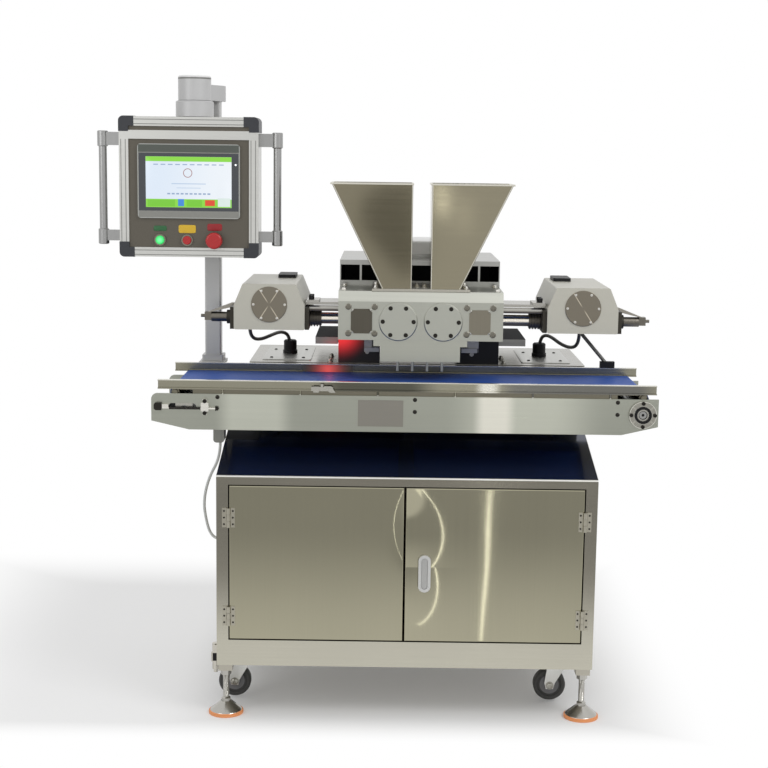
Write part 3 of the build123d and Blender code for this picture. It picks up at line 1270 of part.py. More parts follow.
# Swivel collar with its spigot on the pendant, and the coupling with the arm over to the post
COUPLING_Y = (PANEL_FRONT + PANEL_BACK) / 2
COUPLING_EDGE = 3
COLLAR_EDGE = 3
RING_TOP = PANEL_TOP + SWIVEL_COLLAR_H
SPIGOT_TOP = RING_TOP + 36
collar_profile = [
    (0, PANEL_TOP),
    (SWIVEL_COLLAR_R, PANEL_TOP),
    (SWIVEL_COLLAR_R, RING_TOP - COLLAR_EDGE),
    (SWIVEL_COLLAR_R - COLLAR_EDGE, RING_TOP),
    (SWIVEL_R, RING_TOP),
    (SWIVEL_R, SPIGOT_TOP),
    (0, SPIGOT_TOP),
]
nodes["pendant_swivel"] = [revolve_z(collar_profile, COUPLING_X, COUPLING_Y)]
coupling_base = RING_TOP + BODY_GAP
coupling_profile = [
    (0, coupling_base),
    (COUPLING_R, coupling_base),
    (COUPLING_R, COUPLING_TOP - COUPLING_EDGE),
    (COUPLING_R - COUPLING_EDGE, COUPLING_TOP),
    (0, COUPLING_TOP),
]
ARM_R = 25
ARM_END_R = 32
ARM_HIGH = 1514
arm_ends = (Pos(COUPLING_X, COUPLING_Y) * Circle(ARM_R), Pos(POST_X, POST_Y) * Circle(ARM_END_R))
arm_plan = make_hull([edge for end in arm_ends for edge in end.edges()])
arm = extrude(Plane.XY.offset(POST_TOP) * arm_plan, amount=ARM_HIGH - POST_TOP)
arm += revolve_z(coupling_profile, COUPLING_X, COUPLING_Y)
arm -= rod_z(COUPLING_X, COUPLING_Y, coupling_base, SPIGOT_TOP + BODY_GAP, SWIVEL_R + RUN_FIT)
nodes["pendant_arm"] = [arm]

# Cables from the drive housings to the deck glands: shares of the way over, and heights along each
CABLE_START_Y = 300
CABLE_SHARES = (0, 0, 0.10, 0.29, 0.50, 0.72, 0.90, 1, 1)
LEFT_HEIGHTS = (DRIVE_BOTTOM, 904, 885, 881, 886, 895, 898, 880, cable_end)
RIGHT_HEIGHTS = (DRIVE_BOTTOM, 901, 875, 869, 879, 894, 898, 880, cable_end)


def drive_cable(start_x, gland_x, heights):
    points = []
    for share, height in zip(CABLE_SHARES, heights):
        x = start_x + (gland_x - start_x) * share
        y = CABLE_START_Y + (GLAND_Y - CABLE_START_Y) * share
        points.append((x, y, height))
    return points


nodes["cable_left"] = [tube("cable_left", drive_cable(-398, GLAND_LEFT_X, LEFT_HEIGHTS), CABLE_R)]
nodes["cable_right"] = [tube("cable_right", drive_cable(432, GLAND_RIGHT_X, RIGHT_HEIGHTS), CABLE_R)]

# Conduit loop on the left side, from the wiring box to a bored gland in the cabinet side
CONDUIT_R = 3.5
CONDUIT_Y = 220
CONDUIT_X = -464
CONDUIT_LOW = 389
SIDE_GLAND_R = 9
SIDE_GLAND_L = 6
CONDUIT_SEAT = 4
gland_left = -CAB_HALF - SIDE_GLAND_L
conduit_end = gland_left + CONDUIT_SEAT
conduit_route = (
    (CONDUIT_X, WIRING_BOTTOM),
    (CONDUIT_X, 600),
    (-494, 545),
    (-507, 484),
    (-499, 432),
    (-490, 404),
    (-474, CONDUIT_LOW),
    (conduit_end, CONDUIT_LOW),
)
nodes["conduit_loop"] = [tube("conduit_loop", [(x, CONDUIT_Y, z) for x, z in conduit_route], CONDUIT_R)]
side_gland = rod_x(gland_left, -CAB_HALF, CONDUIT_Y, CONDUIT_LOW, SIDE_GLAND_R)
side_gland -= rod_x(gland_left, conduit_end, CONDUIT_Y, CONDUIT_LOW, CONDUIT_R + BODY_GAP)
nodes["cable_glands"].append(side_gland)

# One file for each node
os.makedirs("parts", exist_ok=True)
for name, shapes in nodes.items():
    placed = [TO_FRAME * solid for shape in shapes for solid in shape.solids()]
    export_step(Compound(children=placed), "parts/" + name + ".step")
print(len(nodes), "nodes")
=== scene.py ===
"""Looks of a one-shot chocolate depositor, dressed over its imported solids.

Objects are in metres, in the frame of the solids: z up from the floor, the operator at -y. Places in
the classes are in mm from the cabinet's middle, its front plane and the floor. Sizes of small pieces
and of what a finish shows are in metres.
"""

from __future__ import annotations

import json
import logging
import math
from dataclasses import dataclass
from enum import Enum
from typing import Any, Sequence

import bmesh
import bpy
import numpy as np
from mathutils import Matrix, Vector

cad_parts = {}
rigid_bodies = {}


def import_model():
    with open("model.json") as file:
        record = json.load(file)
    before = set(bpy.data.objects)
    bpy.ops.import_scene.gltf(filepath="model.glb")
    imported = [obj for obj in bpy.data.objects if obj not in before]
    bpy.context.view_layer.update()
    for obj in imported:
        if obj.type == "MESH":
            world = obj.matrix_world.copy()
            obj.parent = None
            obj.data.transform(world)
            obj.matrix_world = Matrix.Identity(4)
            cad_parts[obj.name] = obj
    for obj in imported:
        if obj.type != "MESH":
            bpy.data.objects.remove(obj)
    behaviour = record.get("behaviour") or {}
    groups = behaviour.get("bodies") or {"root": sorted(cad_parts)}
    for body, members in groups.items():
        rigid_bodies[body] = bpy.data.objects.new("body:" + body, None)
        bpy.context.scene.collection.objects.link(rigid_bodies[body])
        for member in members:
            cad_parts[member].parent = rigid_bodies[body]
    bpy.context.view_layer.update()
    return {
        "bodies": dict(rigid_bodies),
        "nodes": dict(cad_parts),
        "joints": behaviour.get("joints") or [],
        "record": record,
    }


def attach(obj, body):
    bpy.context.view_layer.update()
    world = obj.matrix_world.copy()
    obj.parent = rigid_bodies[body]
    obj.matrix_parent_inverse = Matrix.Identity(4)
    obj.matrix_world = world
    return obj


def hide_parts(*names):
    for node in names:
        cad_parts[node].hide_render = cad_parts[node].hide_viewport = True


log = logging.getLogger("depositor")

Colour = tuple[float, float, float]
Point = tuple[float, float, float]
Span = tuple[float | None, float | None]

# The cabinet's middle and front plane in the frame of the solids
MACHINE_X = 0.087
MACHINE_Y = -0.3245
MM = 0.001
WHITE: Colour = (1.0, 1.0, 1.0)
# Stretch of a noise that is the same along every axis
EVEN: Point = (1.0, 1.0, 1.0)
# Half the width of the step at the edge of a patch
SOFT = 0.0004


def spots(rows: Sequence[Point] | np.ndarray) -> np.ndarray:
    """Places in mm from the cabinet's middle, front plane and floor, as rows in metres."""
    return np.asarray(rows, float) * MM + (MACHINE_X, MACHINE_Y, 0.0)


def at(x: float, y: float, z: float) -> Point:
    """One place in mm, as a point in metres in the frame of the solids."""
    return (x * MM + MACHINE_X, y * MM + MACHINE_Y, z * MM)


class Axis(Enum):
    """Direction that a round piece points in or a grain runs along."""

    X = 0
    Y = 1
    Z = 2


class Wire:
    """A value in a shader tree: one output socket that takes part in sums."""

    def __init__(self, graph: Graph, socket: bpy.types.NodeSocket) -> None:
        """Keeps the socket and the graph that it is in."""
        self.graph = graph
        self.socket = socket

    def __add__(self, other: Wire | float) -> Wire:
        """Sum of two values."""
        return self.graph.math("ADD", self, other)

    def __radd__(self, other: float) -> Wire:
        """Sum with a number on the left."""
        return self.graph.math("ADD", other, self)

    def __sub__(self, other: Wire | float) -> Wire:
        """Difference of two values."""
        return self.graph.math("SUBTRACT", self, other)

    def __rsub__(self, other: float) -> Wire:
        """Difference from a number on the left."""
        return self.graph.math("SUBTRACT", other, self)

    def __mul__(self, other: Wire | float) -> Wire:
        """Product of two values."""
        return self.graph.math("MULTIPLY", self, other)

    def __truediv__(self, other: Wire | float) -> Wire:
        """Quotient of two values."""
        return self.graph.math("DIVIDE", self, other)

    def absolute(self) -> Wire:
        """Size of a value without its sign."""
        return self.graph.math("ABSOLUTE", self)

    def above(self, edge: float, soft: float = SOFT) -> Wire:
        """1 where the value is over an edge, 0 under it, with a short soft step."""
        return self.graph.step(self, edge - soft, edge + soft)

    def below(self, edge: float, soft: float = SOFT) -> Wire:
        """1 where the value is under an edge, 0 over it."""
        return 1.0 - self.above(edge, soft)

    def between(self, low: float, high: float, soft: float = SOFT) -> Wire:
        """1 between two edges, 0 outside them."""
        return self.above(low, soft) * self.below(high, soft)


class Graph:
    """The shader tree of a material or a world, with one method for any node."""

    def __init__(self, owner: bpy.types.Material | bpy.types.World) -> None:
        """Empties the tree and gives it an output.

        Args:
            owner: The material or world that has the tree.
        """
        self.owner = owner
        owner.use_nodes = True
        self.tree = owner.node_tree
        self.tree.nodes.clear()
        kind = "World" if isinstance(owner, bpy.types.World) else "Material"
        self.output = self.tree.nodes.new("ShaderNodeOutput" + kind)
        self._place: tuple[Wire, Wire, Wire] | None = None
        self._object: Wire | None = None

    def node(self, kind: str, settings: dict[str, Any] | None = None, **inputs: Any) -> bpy.types.Node:
        """Adds a node.

        Args:
            kind: Blender's type of the node.
            settings: Attributes that are set before the sockets.
            **inputs: Values or wires for its sockets, by name with underscores or as i0, i1 by place.

        Returns:
            The new node.
        """
        made = self.tree.nodes.new(kind)
        for key, value in (settings or {}).items():
            setattr(made, key, value)
        for key, value in inputs.items():
            by_place = key[0] == "i" and key[1:].isdigit()
            socket = made.inputs[int(key[1:]) if by_place else key.replace("_", " ")]
            self.feed(socket, value)
        return made

    def feed(self, socket: bpy.types.NodeSocket, value: Any) -> None:
        """Links a wire to a socket, or sets the socket's own value.

        Args:
            socket: Input socket of a node.
            value: A wire, a colour or a plain value.
        """
        if isinstance(value, Wire):
            self.tree.links.new(value.socket, socket)
        elif isinstance(value, tuple) and socket.type == "RGBA":
            socket.default_value = (*value, 1.0)
        else:
            socket.default_value = value

    def wire(self, made: bpy.types.Node, name: str | int = 0) -> Wire:
        """One output of a node as a wire."""
        return Wire(self, made.outputs[name])

    def math(self, operation: str, first: Wire | float, second: Wire | float = 0.0) -> Wire:
        """A Math node on one or two values."""
        return self.wire(self.node("ShaderNodeMath", {"operation": operation}, i0=first, i1=second))

    def length(self, *sides: Wire) -> Wire:
        """Root of the sum of squares."""
        squares = [side * side for side in sides]
        return self.math("SQRT", sum(squares[1:], start=squares[0]))

    def step(self, value: Wire, low: float, high: float) -> Wire:
        """Smooth step of a value.

        Args:
            value: The value.
            low: Where the step is 0.
            high: Where the step is 1.

        Returns:
            The step.
        """
        settings = {"interpolation_type": "SMOOTHSTEP"}
        made = self.node("ShaderNodeMapRange", settings, Value=value, From_Min=low, From_Max=high)
        return self.wire(made, "Result")

    def object_place(self) -> Wire:
        """Object coordinates as a vector, made once.

        Returns:
            The vector in metres.
        """
        if self._object is None:
            self._object = self.wire(self.node("ShaderNodeTexCoord"), "Object")
        return self._object

    def place(self) -> tuple[Wire, Wire, Wire]:
        """Object coordinates as three values, made once.

        Returns:
            The values x, y and z in metres.
        """
        if self._place is None:
            made = self.node("ShaderNodeSeparateXYZ", Vector=self.object_place())
            self._place = (self.wire(made, 0), self.wire(made, 1), self.wire(made, 2))
        return self._place

    def noise(self, stretch: Point, scale: float, detail: float = 3.0, rough: float = 0.55) -> Wire:
        """Noise on Object coordinates that are stretched along each axis, less its middle value.

        Args:
            stretch: Factor along each axis.
            scale: Factor along all axes.
            detail: Octaves of the noise.
            rough: Share that each octave keeps of the one before.

        Returns:
            A value about 0.
        """
        place = self.wire(self.node("ShaderNodeMapping", Vector=self.object_place(), Scale=stretch))
        made = self.node("ShaderNodeTexNoise", Vector=place, Scale=scale, Detail=detail, Roughness=rough)
        return self.wire(made) - 0.5

    def streaks(self, axis: Axis, across: float, along: float) -> Wire:
        """Noise squeezed across one axis, as a brushed grain.

        Args:
            axis: The axis that the grain runs along.
            across: Scale across the grain.
            along: Scale along the grain.

        Returns:
            A value about 0.
        """
        stretch = [across, across, across]
        stretch[axis.value] = along
        return self.noise(tuple(stretch), 1.0, 4.0, 0.6)

    def cloud(self) -> Wire:
        """Slow noise over a whole sheet."""
        return self.noise(EVEN, 3.6, 2.0, 0.5)

    def mix(self, first: Wire | Colour, second: Wire | Colour, share: Wire) -> Wire:
        """Colour between two, by a share from 0 to 1."""
        return self.wire(self.node("ShaderNodeMix", {"data_type": "RGBA"}, i0=share, i6=first, i7=second), 2)

    def shade(self, colour: Wire | Colour, value: Wire) -> Wire:
        """A colour times a value, as a multiply mix with a grey.

        Args:
            colour: The colour.
            value: What it is multiplied by.

        Returns:
            The product.
        """
        grey = self.wire(self.node("ShaderNodeCombineXYZ", X=value, Y=value, Z=value))
        settings = {"data_type": "RGBA", "blend_type": "MULTIPLY"}
        return self.wire(self.node("ShaderNodeMix", settings, i0=1.0, i6=colour, i7=grey), 2)

    def bump(self, height: Wire, distance: float, strength: float = 1.0) -> Wire:
        """Normal from a height, in metres of depth."""
        return self.wire(self.node("ShaderNodeBump", Strength=strength, Distance=distance, Height=height))

    def principled(self, **inputs: Any) -> Wire:
        """The main shader with the given sockets."""
        return self.wire(self.node("ShaderNodeBsdfPrincipled", **inputs))

    def glow(self, colour: Wire) -> Wire:
        """A shader that gives off a colour as light."""
        return self.wire(self.node("ShaderNodeEmission", Color=colour, Strength=1.0))

    def blend(self, first: Wire, second: Wire, share: Wire) -> Wire:
        """Mix of two shaders by a share."""
        return self.wire(self.node("ShaderNodeMixShader", i0=share, i1=first, i2=second))

    def finish(self, surface: Wire) -> bpy.types.Material | bpy.types.World:
        """Sends a shader to the output and gives the tree's owner back."""
        self.feed(self.output.inputs["Surface"], surface)
        return self.owner


@dataclass
class Shape:
    """Points and four-cornered faces of a surface, as whole arrays."""

    points: np.ndarray
    faces: np.ndarray

    def facing(self, axis: Axis, sign: float = 1.0) -> Shape:
        """The shape with its own z turned to an axis, by a cyclic change of the coordinates.

        Args:
            axis: The axis that the shape's z goes to.
            sign: -1 turns the shape to the axis' negative side, by half a turn about a cross axis.

        Returns:
            The turned shape.
        """
        points = self.points if sign > 0 else self.points * np.array((1.0, -1.0, -1.0))
        return Shape(np.roll(points, axis.value + 1, axis=1), self.faces)

    def stamped(self, places: np.ndarray) -> Shape:
        """Copies of the shape at many places: every point plus every place.

        Args:
            places: One row of x, y and z for each copy, in metres.

        Returns:
            All copies as one shape.
        """
        points = (places[:, None, :] + self.points[None, :, :]).reshape(-1, 3)
        shift = np.arange(len(places)) * len(self.points)
        faces = (shift[:, None, None] + self.faces[None, :, :]).reshape(-1, 4)
        return Shape(points, faces)


def grid_faces(rows: int, columns: int, closed: bool = True) -> np.ndarray:
    """Four-cornered faces between the rows and columns of a grid of points.

    Args:
        rows: Number of rows.
        columns: Points in each row.
        closed: Whether the last column joins the first.

    Returns:
        Indices of the corners, one row for each face.
    """
    across = np.arange(columns if closed else columns - 1)
    row, column = np.meshgrid(np.arange(rows - 1) * columns, across, indexing="ij")
    after = (column + 1) % columns
    corners = (row + column, row + after, row + columns + after, row + columns + column)
    return np.stack(corners, axis=-1).reshape(-1, 4)


def angles(around: int) -> np.ndarray:
    """Even angles around a circle, in radians."""
    return np.arange(around) * 2 * np.pi / around


def round_wall(radius: np.ndarray, height: np.ndarray) -> np.ndarray:
    """Points (r cos a, r sin a, h) about z.

    Args:
        radius: The radius r, a row for each height and a column for each angle.
        height: The height h of each row.

    Returns:
        Points by row, angle and axis.
    """
    angle = angles(radius.shape[1])
    level = np.broadcast_to(height[:, None], radius.shape)
    return np.stack((radius * np.cos(angle), radius * np.sin(angle), level), axis=-1)


def lathe(profile: Sequence[tuple[float, float]], flat_rows: Sequence[int], around: int = 24) -> Shape:
    """Surface of revolution about z, with six flats on some rows.

    On a row with flats, the radius is divided by the cosine of the angle to the middle of the nearest
    flat, which turns the circle into the polygon around it.

    Args:
        profile: Radius and height of each row, from one end to the other.
        flat_rows: Rows that have the flats.
        around: Points around the axis.

    Returns:
        The closed surface.
    """
    radius, height = np.asarray(profile, float).T
    pitch = np.pi / 3
    stretch = np.ones((len(radius), around))
    stretch[list(flat_rows)] = 1.0 / np.cos((angles(around) + pitch / 2) % pitch - pitch / 2)
    points = round_wall(radius[:, None] * stretch, height).reshape(-1, 3)
    return Shape(points, grid_faces(len(radius), around))


def thread(radius: float, depth: float, pitch: float, length: float, around: int = 20) -> Shape:
    """Threaded rod along z: the radius dips by a triangle wave of the height less the turn.

    Args:
        radius: Outer radius.
        depth: Depth of the thread.
        pitch: Rise for each turn.
        length: Length of the rod.
        around: Points around the axis.

    Returns:
        The rod with closed ends.
    """
    rows = max(int(length / pitch * 4), 4)
    height = np.linspace(0.0, length, rows)
    phase = (height[:, None] / pitch - angles(around)[None, :] / (2 * np.pi)) % 1.0
    wall = round_wall(radius - depth * np.abs(2 * phase - 1), height)
    low, high = np.zeros((1, around, 3)), np.full((1, around, 3), (0.0, 0.0, length))
    points = np.concatenate((low, wall, high)).reshape(-1, 3)
    return Shape(points, grid_faces(rows + 2, around))


def pillow(width: float, height: float, depth: float, corner: float, edge: float, around: int = 40) -> Shape:
    """Plate in the x-z plane with round corners and a rolled front edge, facing -y.

    The outline is the corner of a rectangle less the corner radius, plus a circle of that radius. Rows
    shrink the outline along a quarter circle, the rolled edge, and end in the middle.

    Args:
        width: Size along x.
        height: Size along z.
        depth: Thickness along y.
        corner: Radius of the corners.
        edge: Radius of the rolled edge.
        around: Points around the outline.

    Returns:
        The closed plate, its back at y 0 and its front at -depth.
    """
    angle = angles(around) + np.pi / around
    rim = np.stack((np.cos(angle), np.sin(angle)))
    core = np.sign(rim) * np.array(((width / 2 - corner,), (height / 2 - corner,)))
    turn = np.linspace(0.0, np.pi / 2, 4)
    inset = np.concatenate(([0.0, 0.0], edge * (1 - np.cos(turn))[1:]))
    front = np.concatenate(([0.0, -(depth - edge)], -(depth - edge) - edge * np.sin(turn)[1:]))
    flat = core[None] + rim[None] * (corner - inset)[:, None, None]
    ring = np.stack((flat[:, 0], np.broadcast_to(front[:, None], flat[:, 0].shape), flat[:, 1]), axis=-1)
    back = np.zeros((1, around, 3))
    middle = np.full((1, around, 3), (0.0, -depth, 0.0))
    points = np.concatenate((back, ring, middle)).reshape(-1, 3)
    return Shape(points, grid_faces(len(inset) + 2, around))


def slab(outline: np.ndarray, depth: float) -> Shape:
    """Plate with a flat convex outline, drawn along y by a depth.

    The rows of the surface are the outline's middle, the outline, the outline at the depth and the
    middle there, so each end is a fan of faces about the middle.

    Args:
        outline: Corners in turn, one row of x, y and z for each, in metres.
        depth: Size along y.

    Returns:
        The closed plate.
    """
    middle = np.broadcast_to(outline.mean(axis=0), outline.shape)
    back = np.array((0.0, depth, 0.0))
    points = np.concatenate((middle, outline, outline + back, middle + back))
    return Shape(points, grid_faces(4, len(outline)))


def circle_of(centre: Point, radius: float, count: int) -> np.ndarray:
    """Places on a circle in the x-z plane, the first one to the right.

    Args:
        centre: Middle of the circle.
        radius: Radius of the circle, in the centre's unit.
        count: Number of places.

    Returns:
        One row for each place.
    """
    angle = angles(count)
    ring = np.stack((np.cos(angle), np.zeros(count), np.sin(angle)), axis=-1)
    return np.asarray(centre) + radius * ring


# Depth that a screw's head goes into its seat
SEAT = 0.0006


def socket_head(radius: float, height: float) -> Shape:
    """Cap screw's head: a cylinder with a rounded edge and a six-sided hole in its top.

    Args:
        radius: Radius of the head.
        height: Height over its seat.

    Returns:
        The head, pointing along z.
    """
    hole, floor = radius * 0.52, height * 0.35
    rows = [(0, -SEAT), (radius, -SEAT), (radius, height * 0.85), (radius * 0.86, height)]
    rows += [(hole, height), (hole, floor), (0, floor)]
    return lathe(rows, (4, 5))


def hex_head(radius: float, height: float) -> Shape:
    """Bolt head or nut: six flats with a rounded crown over a washer.

    Args:
        radius: Size that the flats, the crown and the washer are shares of.
        height: Height of the flats over the seat.

    Returns:
        The head, pointing along z.
    """
    washer, rim, flat = height * 0.22, radius * 1.25, radius * 0.88
    rows = [(0, -SEAT), (rim, -SEAT), (rim, washer), (flat, washer)]
    rows += [(flat, height * 0.86), (radius * 0.8, height), (radius * 0.42, height)]
    rows += [(radius * 0.4, height * 1.18), (0, height * 1.18)]
    return lathe(rows, (3, 4))


def dome_head(radius: float, height: float) -> Shape:
    """Button screw: a low dome, part of an ellipse, with a small six-sided hole.

    Args:
        radius: Radius of the head.
        height: Height over its seat.

    Returns:
        The head, pointing along z.
    """
    turn = np.linspace(0.0, 1.1, 5)
    hole, floor = radius * 0.36, height * 0.4
    rows = [(0, -SEAT), (radius, -SEAT), *zip(radius * np.cos(turn), height * np.sin(turn))]
    rows += [(hole, height * 0.93), (hole, floor), (0, floor)]
    return lathe(rows, (7, 8))


def put(
    name: str,
    shape: Shape,
    rows: Sequence[Point] | np.ndarray,
    finish: Finish,
    body: str = "machine",
    smooth: float = 35.0,
) -> None:
    """Makes an object of copies of a shape: doubles merged, normals outwards, riding on a body.

    Args:
        name: Name of the piece.
        shape: Points and faces of one copy.
        rows: Place of each copy, in mm.
        finish: Finish of the piece.
        body: Body that it moves with.
        smooth: Angle under which edges are shaded smooth, in degrees.
    """
    copies = shape.stamped(spots(rows))
    mesh = bpy.data.meshes.new(name)
    mesh.from_pydata(copies.points.tolist(), [], copies.faces.tolist())
    work = bmesh.new()
    work.from_mesh(mesh)
    bmesh.ops.remove_doubles(work, verts=work.verts, dist=1e-6)
    bmesh.ops.dissolve_degenerate(work, edges=work.edges, dist=1e-7)
    bmesh.ops.recalc_face_normals(work, faces=work.faces)
    work.to_mesh(mesh)
    work.free()
    mesh.polygons.foreach_set("use_smooth", np.ones(len(mesh.polygons), bool))
    mesh.set_sharp_from_angle(angle=math.radians(smooth))
    mesh.materials.append(finish.make())
    piece = bpy.data.objects.new(name, mesh)
    bpy.context.scene.collection.objects.link(piece)
    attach(piece, body)
    log.info("%s: %d faces on %s", name, len(mesh.polygons), body)


def dress(frame: dict[str, Any], finishes: dict[str, Finish]) -> None:
    """Gives nodes of the solids their finishes.

    Args:
        frame: The loaded frame.
        finishes: Finish of each node, by the node's name.
    """
    for node, finish in finishes.items():
        mesh = frame["nodes"][node].data
        mesh.materials.clear()
        mesh.materials.append(finish.make())
        log.info("%s: %s", node, finish.name)


MADE: dict[str, bpy.types.Material] = {}


@dataclass(frozen=True)
class Finish:
    """A finish by name; the classes below say what its surface is.

    Each of them has a method shader(graph) that makes the surface in the graph of a material.
    """

    name: str

    def shader(self, graph: Graph) -> Wire:
        """The shader of the finish, in the graph of a material."""
        raise NotImplementedError

    def make(self) -> bpy.types.Material:
        """The material, made the first time that it is asked for.

        Returns:
            The same material each time.
        """
        if self.name not in MADE:
            graph = Graph(bpy.data.materials.new(self.name))
            MADE[self.name] = graph.finish(self.shader(graph))
        return MADE[self.name]


@dataclass(frozen=True)
class Brushed(Finish):
    """Brushed sheet metal: streaks along one axis over a slow cloud of tone.

    The streaks are noise squeezed across the grain. The tone is 1 plus the streaks and the cloud, and
    the same streaks change the gloss and lift the surface by hundredths of a millimetre.
    """

    colour: Colour
    grain: Axis = Axis.X
    rough: float = 0.32
    streak: float = 0.10
    cloud: float = 0.10
    fine: float = 160.0
    metal: float = 1.0
    squeeze: float = 0.014
    lift: float = 0.00025

    def shader(self, graph: Graph) -> Wire:
        """Metal whose tone, gloss and height follow the streaks.

        Args:
            graph: The graph of the material.

        Returns:
            The surface.
        """
        streak = graph.streaks(self.grain, self.fine, self.fine * self.squeeze)
        cloud = graph.cloud()
        tone = 1.0 + streak * (2 * self.streak) + cloud * (2 * self.cloud)
        return graph.principled(
            Base_Color=graph.shade(self.colour, tone),
            Metallic=self.metal,
            Roughness=self.rough + streak * 0.16 + cloud * 0.08,
            Normal=graph.bump(streak, self.lift, 0.5),
        )


@dataclass(frozen=True)
class Pull:
    """Edge that a sheet is drawn in or out at, in mm from the cabinet's middle and floor.

    The distance from the edge at which the slope is half its full value is the larger of some hills,
    each a reach less a bend times the square of the height from its own level.
    """

    edge: float
    side: int
    slope: float
    hills: tuple[tuple[float, float, float], ...]
    soft: float

    def height(self, graph: Graph) -> Wire:
        """Height in metres: a soft ramp that starts at the hills' distance and ends at the edge.

        Args:
            graph: The graph of the material.

        Returns:
            The height.
        """
        x, _, z = graph.place()
        away = (x - (self.edge * MM + MACHINE_X)) * (self.side / MM)
        reach: Wire | float = -1000.0
        for level, far, bend in self.hills:
            rise = z / MM - level
            reach = graph.math("MAXIMUM", reach, far - rise * rise * bend)
        ramp = graph.math("EXPONENT", (reach - away) / self.soft)
        return graph.math("LOGARITHM", ramp + 1.0, math.e) * (self.slope * self.soft * MM)


@dataclass(frozen=True)
class Sheet(Finish):
    """Smooth rolled sheet: close to a mirror, with a faint grain, slow waves and pulled edges.

    The height is the sum of the waves, the grain and each pull, so lights seen in it bend with the sheet.
    """

    colour: Colour
    grain: Axis
    rough: float
    streak: float
    cloud: float
    wave: float
    pulls: tuple[Pull, ...] = ()
    across: float = 240.0
    along: float = 3.0
    lift: float = 0.000004

    def shader(self, graph: Graph) -> Wire:
        """Metal whose tone and gloss follow the grain and whose height is the sum.

        Args:
            graph: The graph of the material.

        Returns:
            The surface.
        """
        streak = graph.streaks(self.grain, self.across, self.along)
        cloud = graph.cloud()
        height = graph.noise(EVEN, 5.0, 0.0) * self.wave + streak * self.lift
        for pull in self.pulls:
            height = height + pull.height(graph)
        tone = 1.0 + streak * (2 * self.streak) + cloud * (2 * self.cloud)
        return graph.principled(
            Base_Color=graph.shade(self.colour, tone),
            Metallic=1.0,
            Roughness=self.rough + streak * 0.05 + cloud * 0.03,
            Normal=graph.bump(height, 1.0),
        )


@dataclass(frozen=True)
class Satin(Finish):
    """Blasted, cast or painted surface: fine grain in tone, gloss and height all over."""

    colour: Colour
    metal: float = 0.0
    rough: float = 0.45
    grain: float = 0.06
    fine: float = 500.0
    depth: float = 0.00015
    coat: float = 0.0
    mirror: float = 0.5

    def shader(self, graph: Graph) -> Wire:
        """Even surface whose tone, gloss and height follow a fine grain.

        Args:
            graph: The graph of the material.

        Returns:
            The surface.
        """
        grain = graph.noise(EVEN, self.fine, 3.0, 0.6)
        cloud = graph.noise(EVEN, 9.0)
        tone = 1.0 + grain * (2 * self.grain) + cloud * self.grain
        return graph.principled(
            Base_Color=graph.shade(self.colour, tone),
            Metallic=self.metal,
            Roughness=self.rough + grain * 0.12 + cloud * 0.1,
            Normal=graph.bump(grain, self.depth, 0.6),
            Coat_Weight=self.coat,
            Specular_IOR_Level=self.mirror,
        )


@dataclass(frozen=True)
class Turned(Finish):
    """Two discs turned on a lathe: rings about each middle, with a painted highlight as a bright cross.

    The place is measured from the nearer middle. The rings are noise of the radius. The cross is where
    the arc from the nearest of four rays is short; the rays lean from the upright by one angle. The second
    disc has only the two rays whose place across and up differ in sign.
    """

    colour: Colour
    middles: tuple[float, float]
    level: float
    cross: float
    lean: float = 0.576
    rough: float = 0.32
    cross_half: float = 0.0026
    fine: float = 900.0

    def shader(self, graph: Graph) -> Wire:
        """Metal whose tone follows the rings and the painted highlight cross.

        Args:
            graph: The graph of the material.

        Returns:
            The surface.
        """
        x, _, z = graph.place()
        left, right = self.middles
        second = x.above((left + right) / 2)
        across = x - (left + second * (right - left))
        up = z - self.level
        radius = graph.length(across, up)
        angle = graph.math("ARCTAN2", up, across)
        place = graph.wire(graph.node("ShaderNodeCombineXYZ", X=radius * self.fine, Y=second * 7.0))
        ring = graph.wire(graph.node("ShaderNodeTexNoise", Vector=place, Scale=1.0, Detail=2.0)) - 0.5
        off = ((angle.absolute() - math.pi / 2).absolute() - self.lean).absolute() * radius
        # painted highlight: the cross lightens the tone along four rays
        lit = (1.0 - graph.step(off, 0.0004, self.cross_half)) * graph.step(radius, 0.001, 0.016)
        lit = lit * (1.0 - second * (across * up).above(0.0, 1e-6))
        return graph.principled(
            Base_Color=graph.shade(self.colour, 1.0 + ring * 0.25 + lit * self.cross),
            Metallic=1.0,
            Roughness=self.rough + ring * 0.2,
            Normal=graph.bump(ring, 0.0002, 0.5),
        )


@dataclass(frozen=True)
class Belting(Finish):
    """Blue food belt: a fine fabric weave under a smooth skin, rubbed along its run."""

    colour: Colour
    threads: float = 1900.0

    def shader(self, graph: Graph) -> Wire:
        """Skin whose height is the product of two waves and whose tone is rubbed along x.

        Args:
            graph: The graph of the material.

        Returns:
            The surface.
        """
        x, y, _ = graph.place()
        weave = graph.math("SINE", x * self.threads) * graph.math("SINE", y * self.threads)
        rub = graph.noise((1.2, 60.0, 60.0), 1.0)
        return graph.principled(
            Base_Color=graph.shade(self.colour, 1.0 + weave * 0.12 + rub * 0.5),
            Roughness=0.42 + rub * 0.2,
            Normal=graph.bump(weave, 0.0002, 0.5),
            Specular_IOR_Level=0.1,
        )


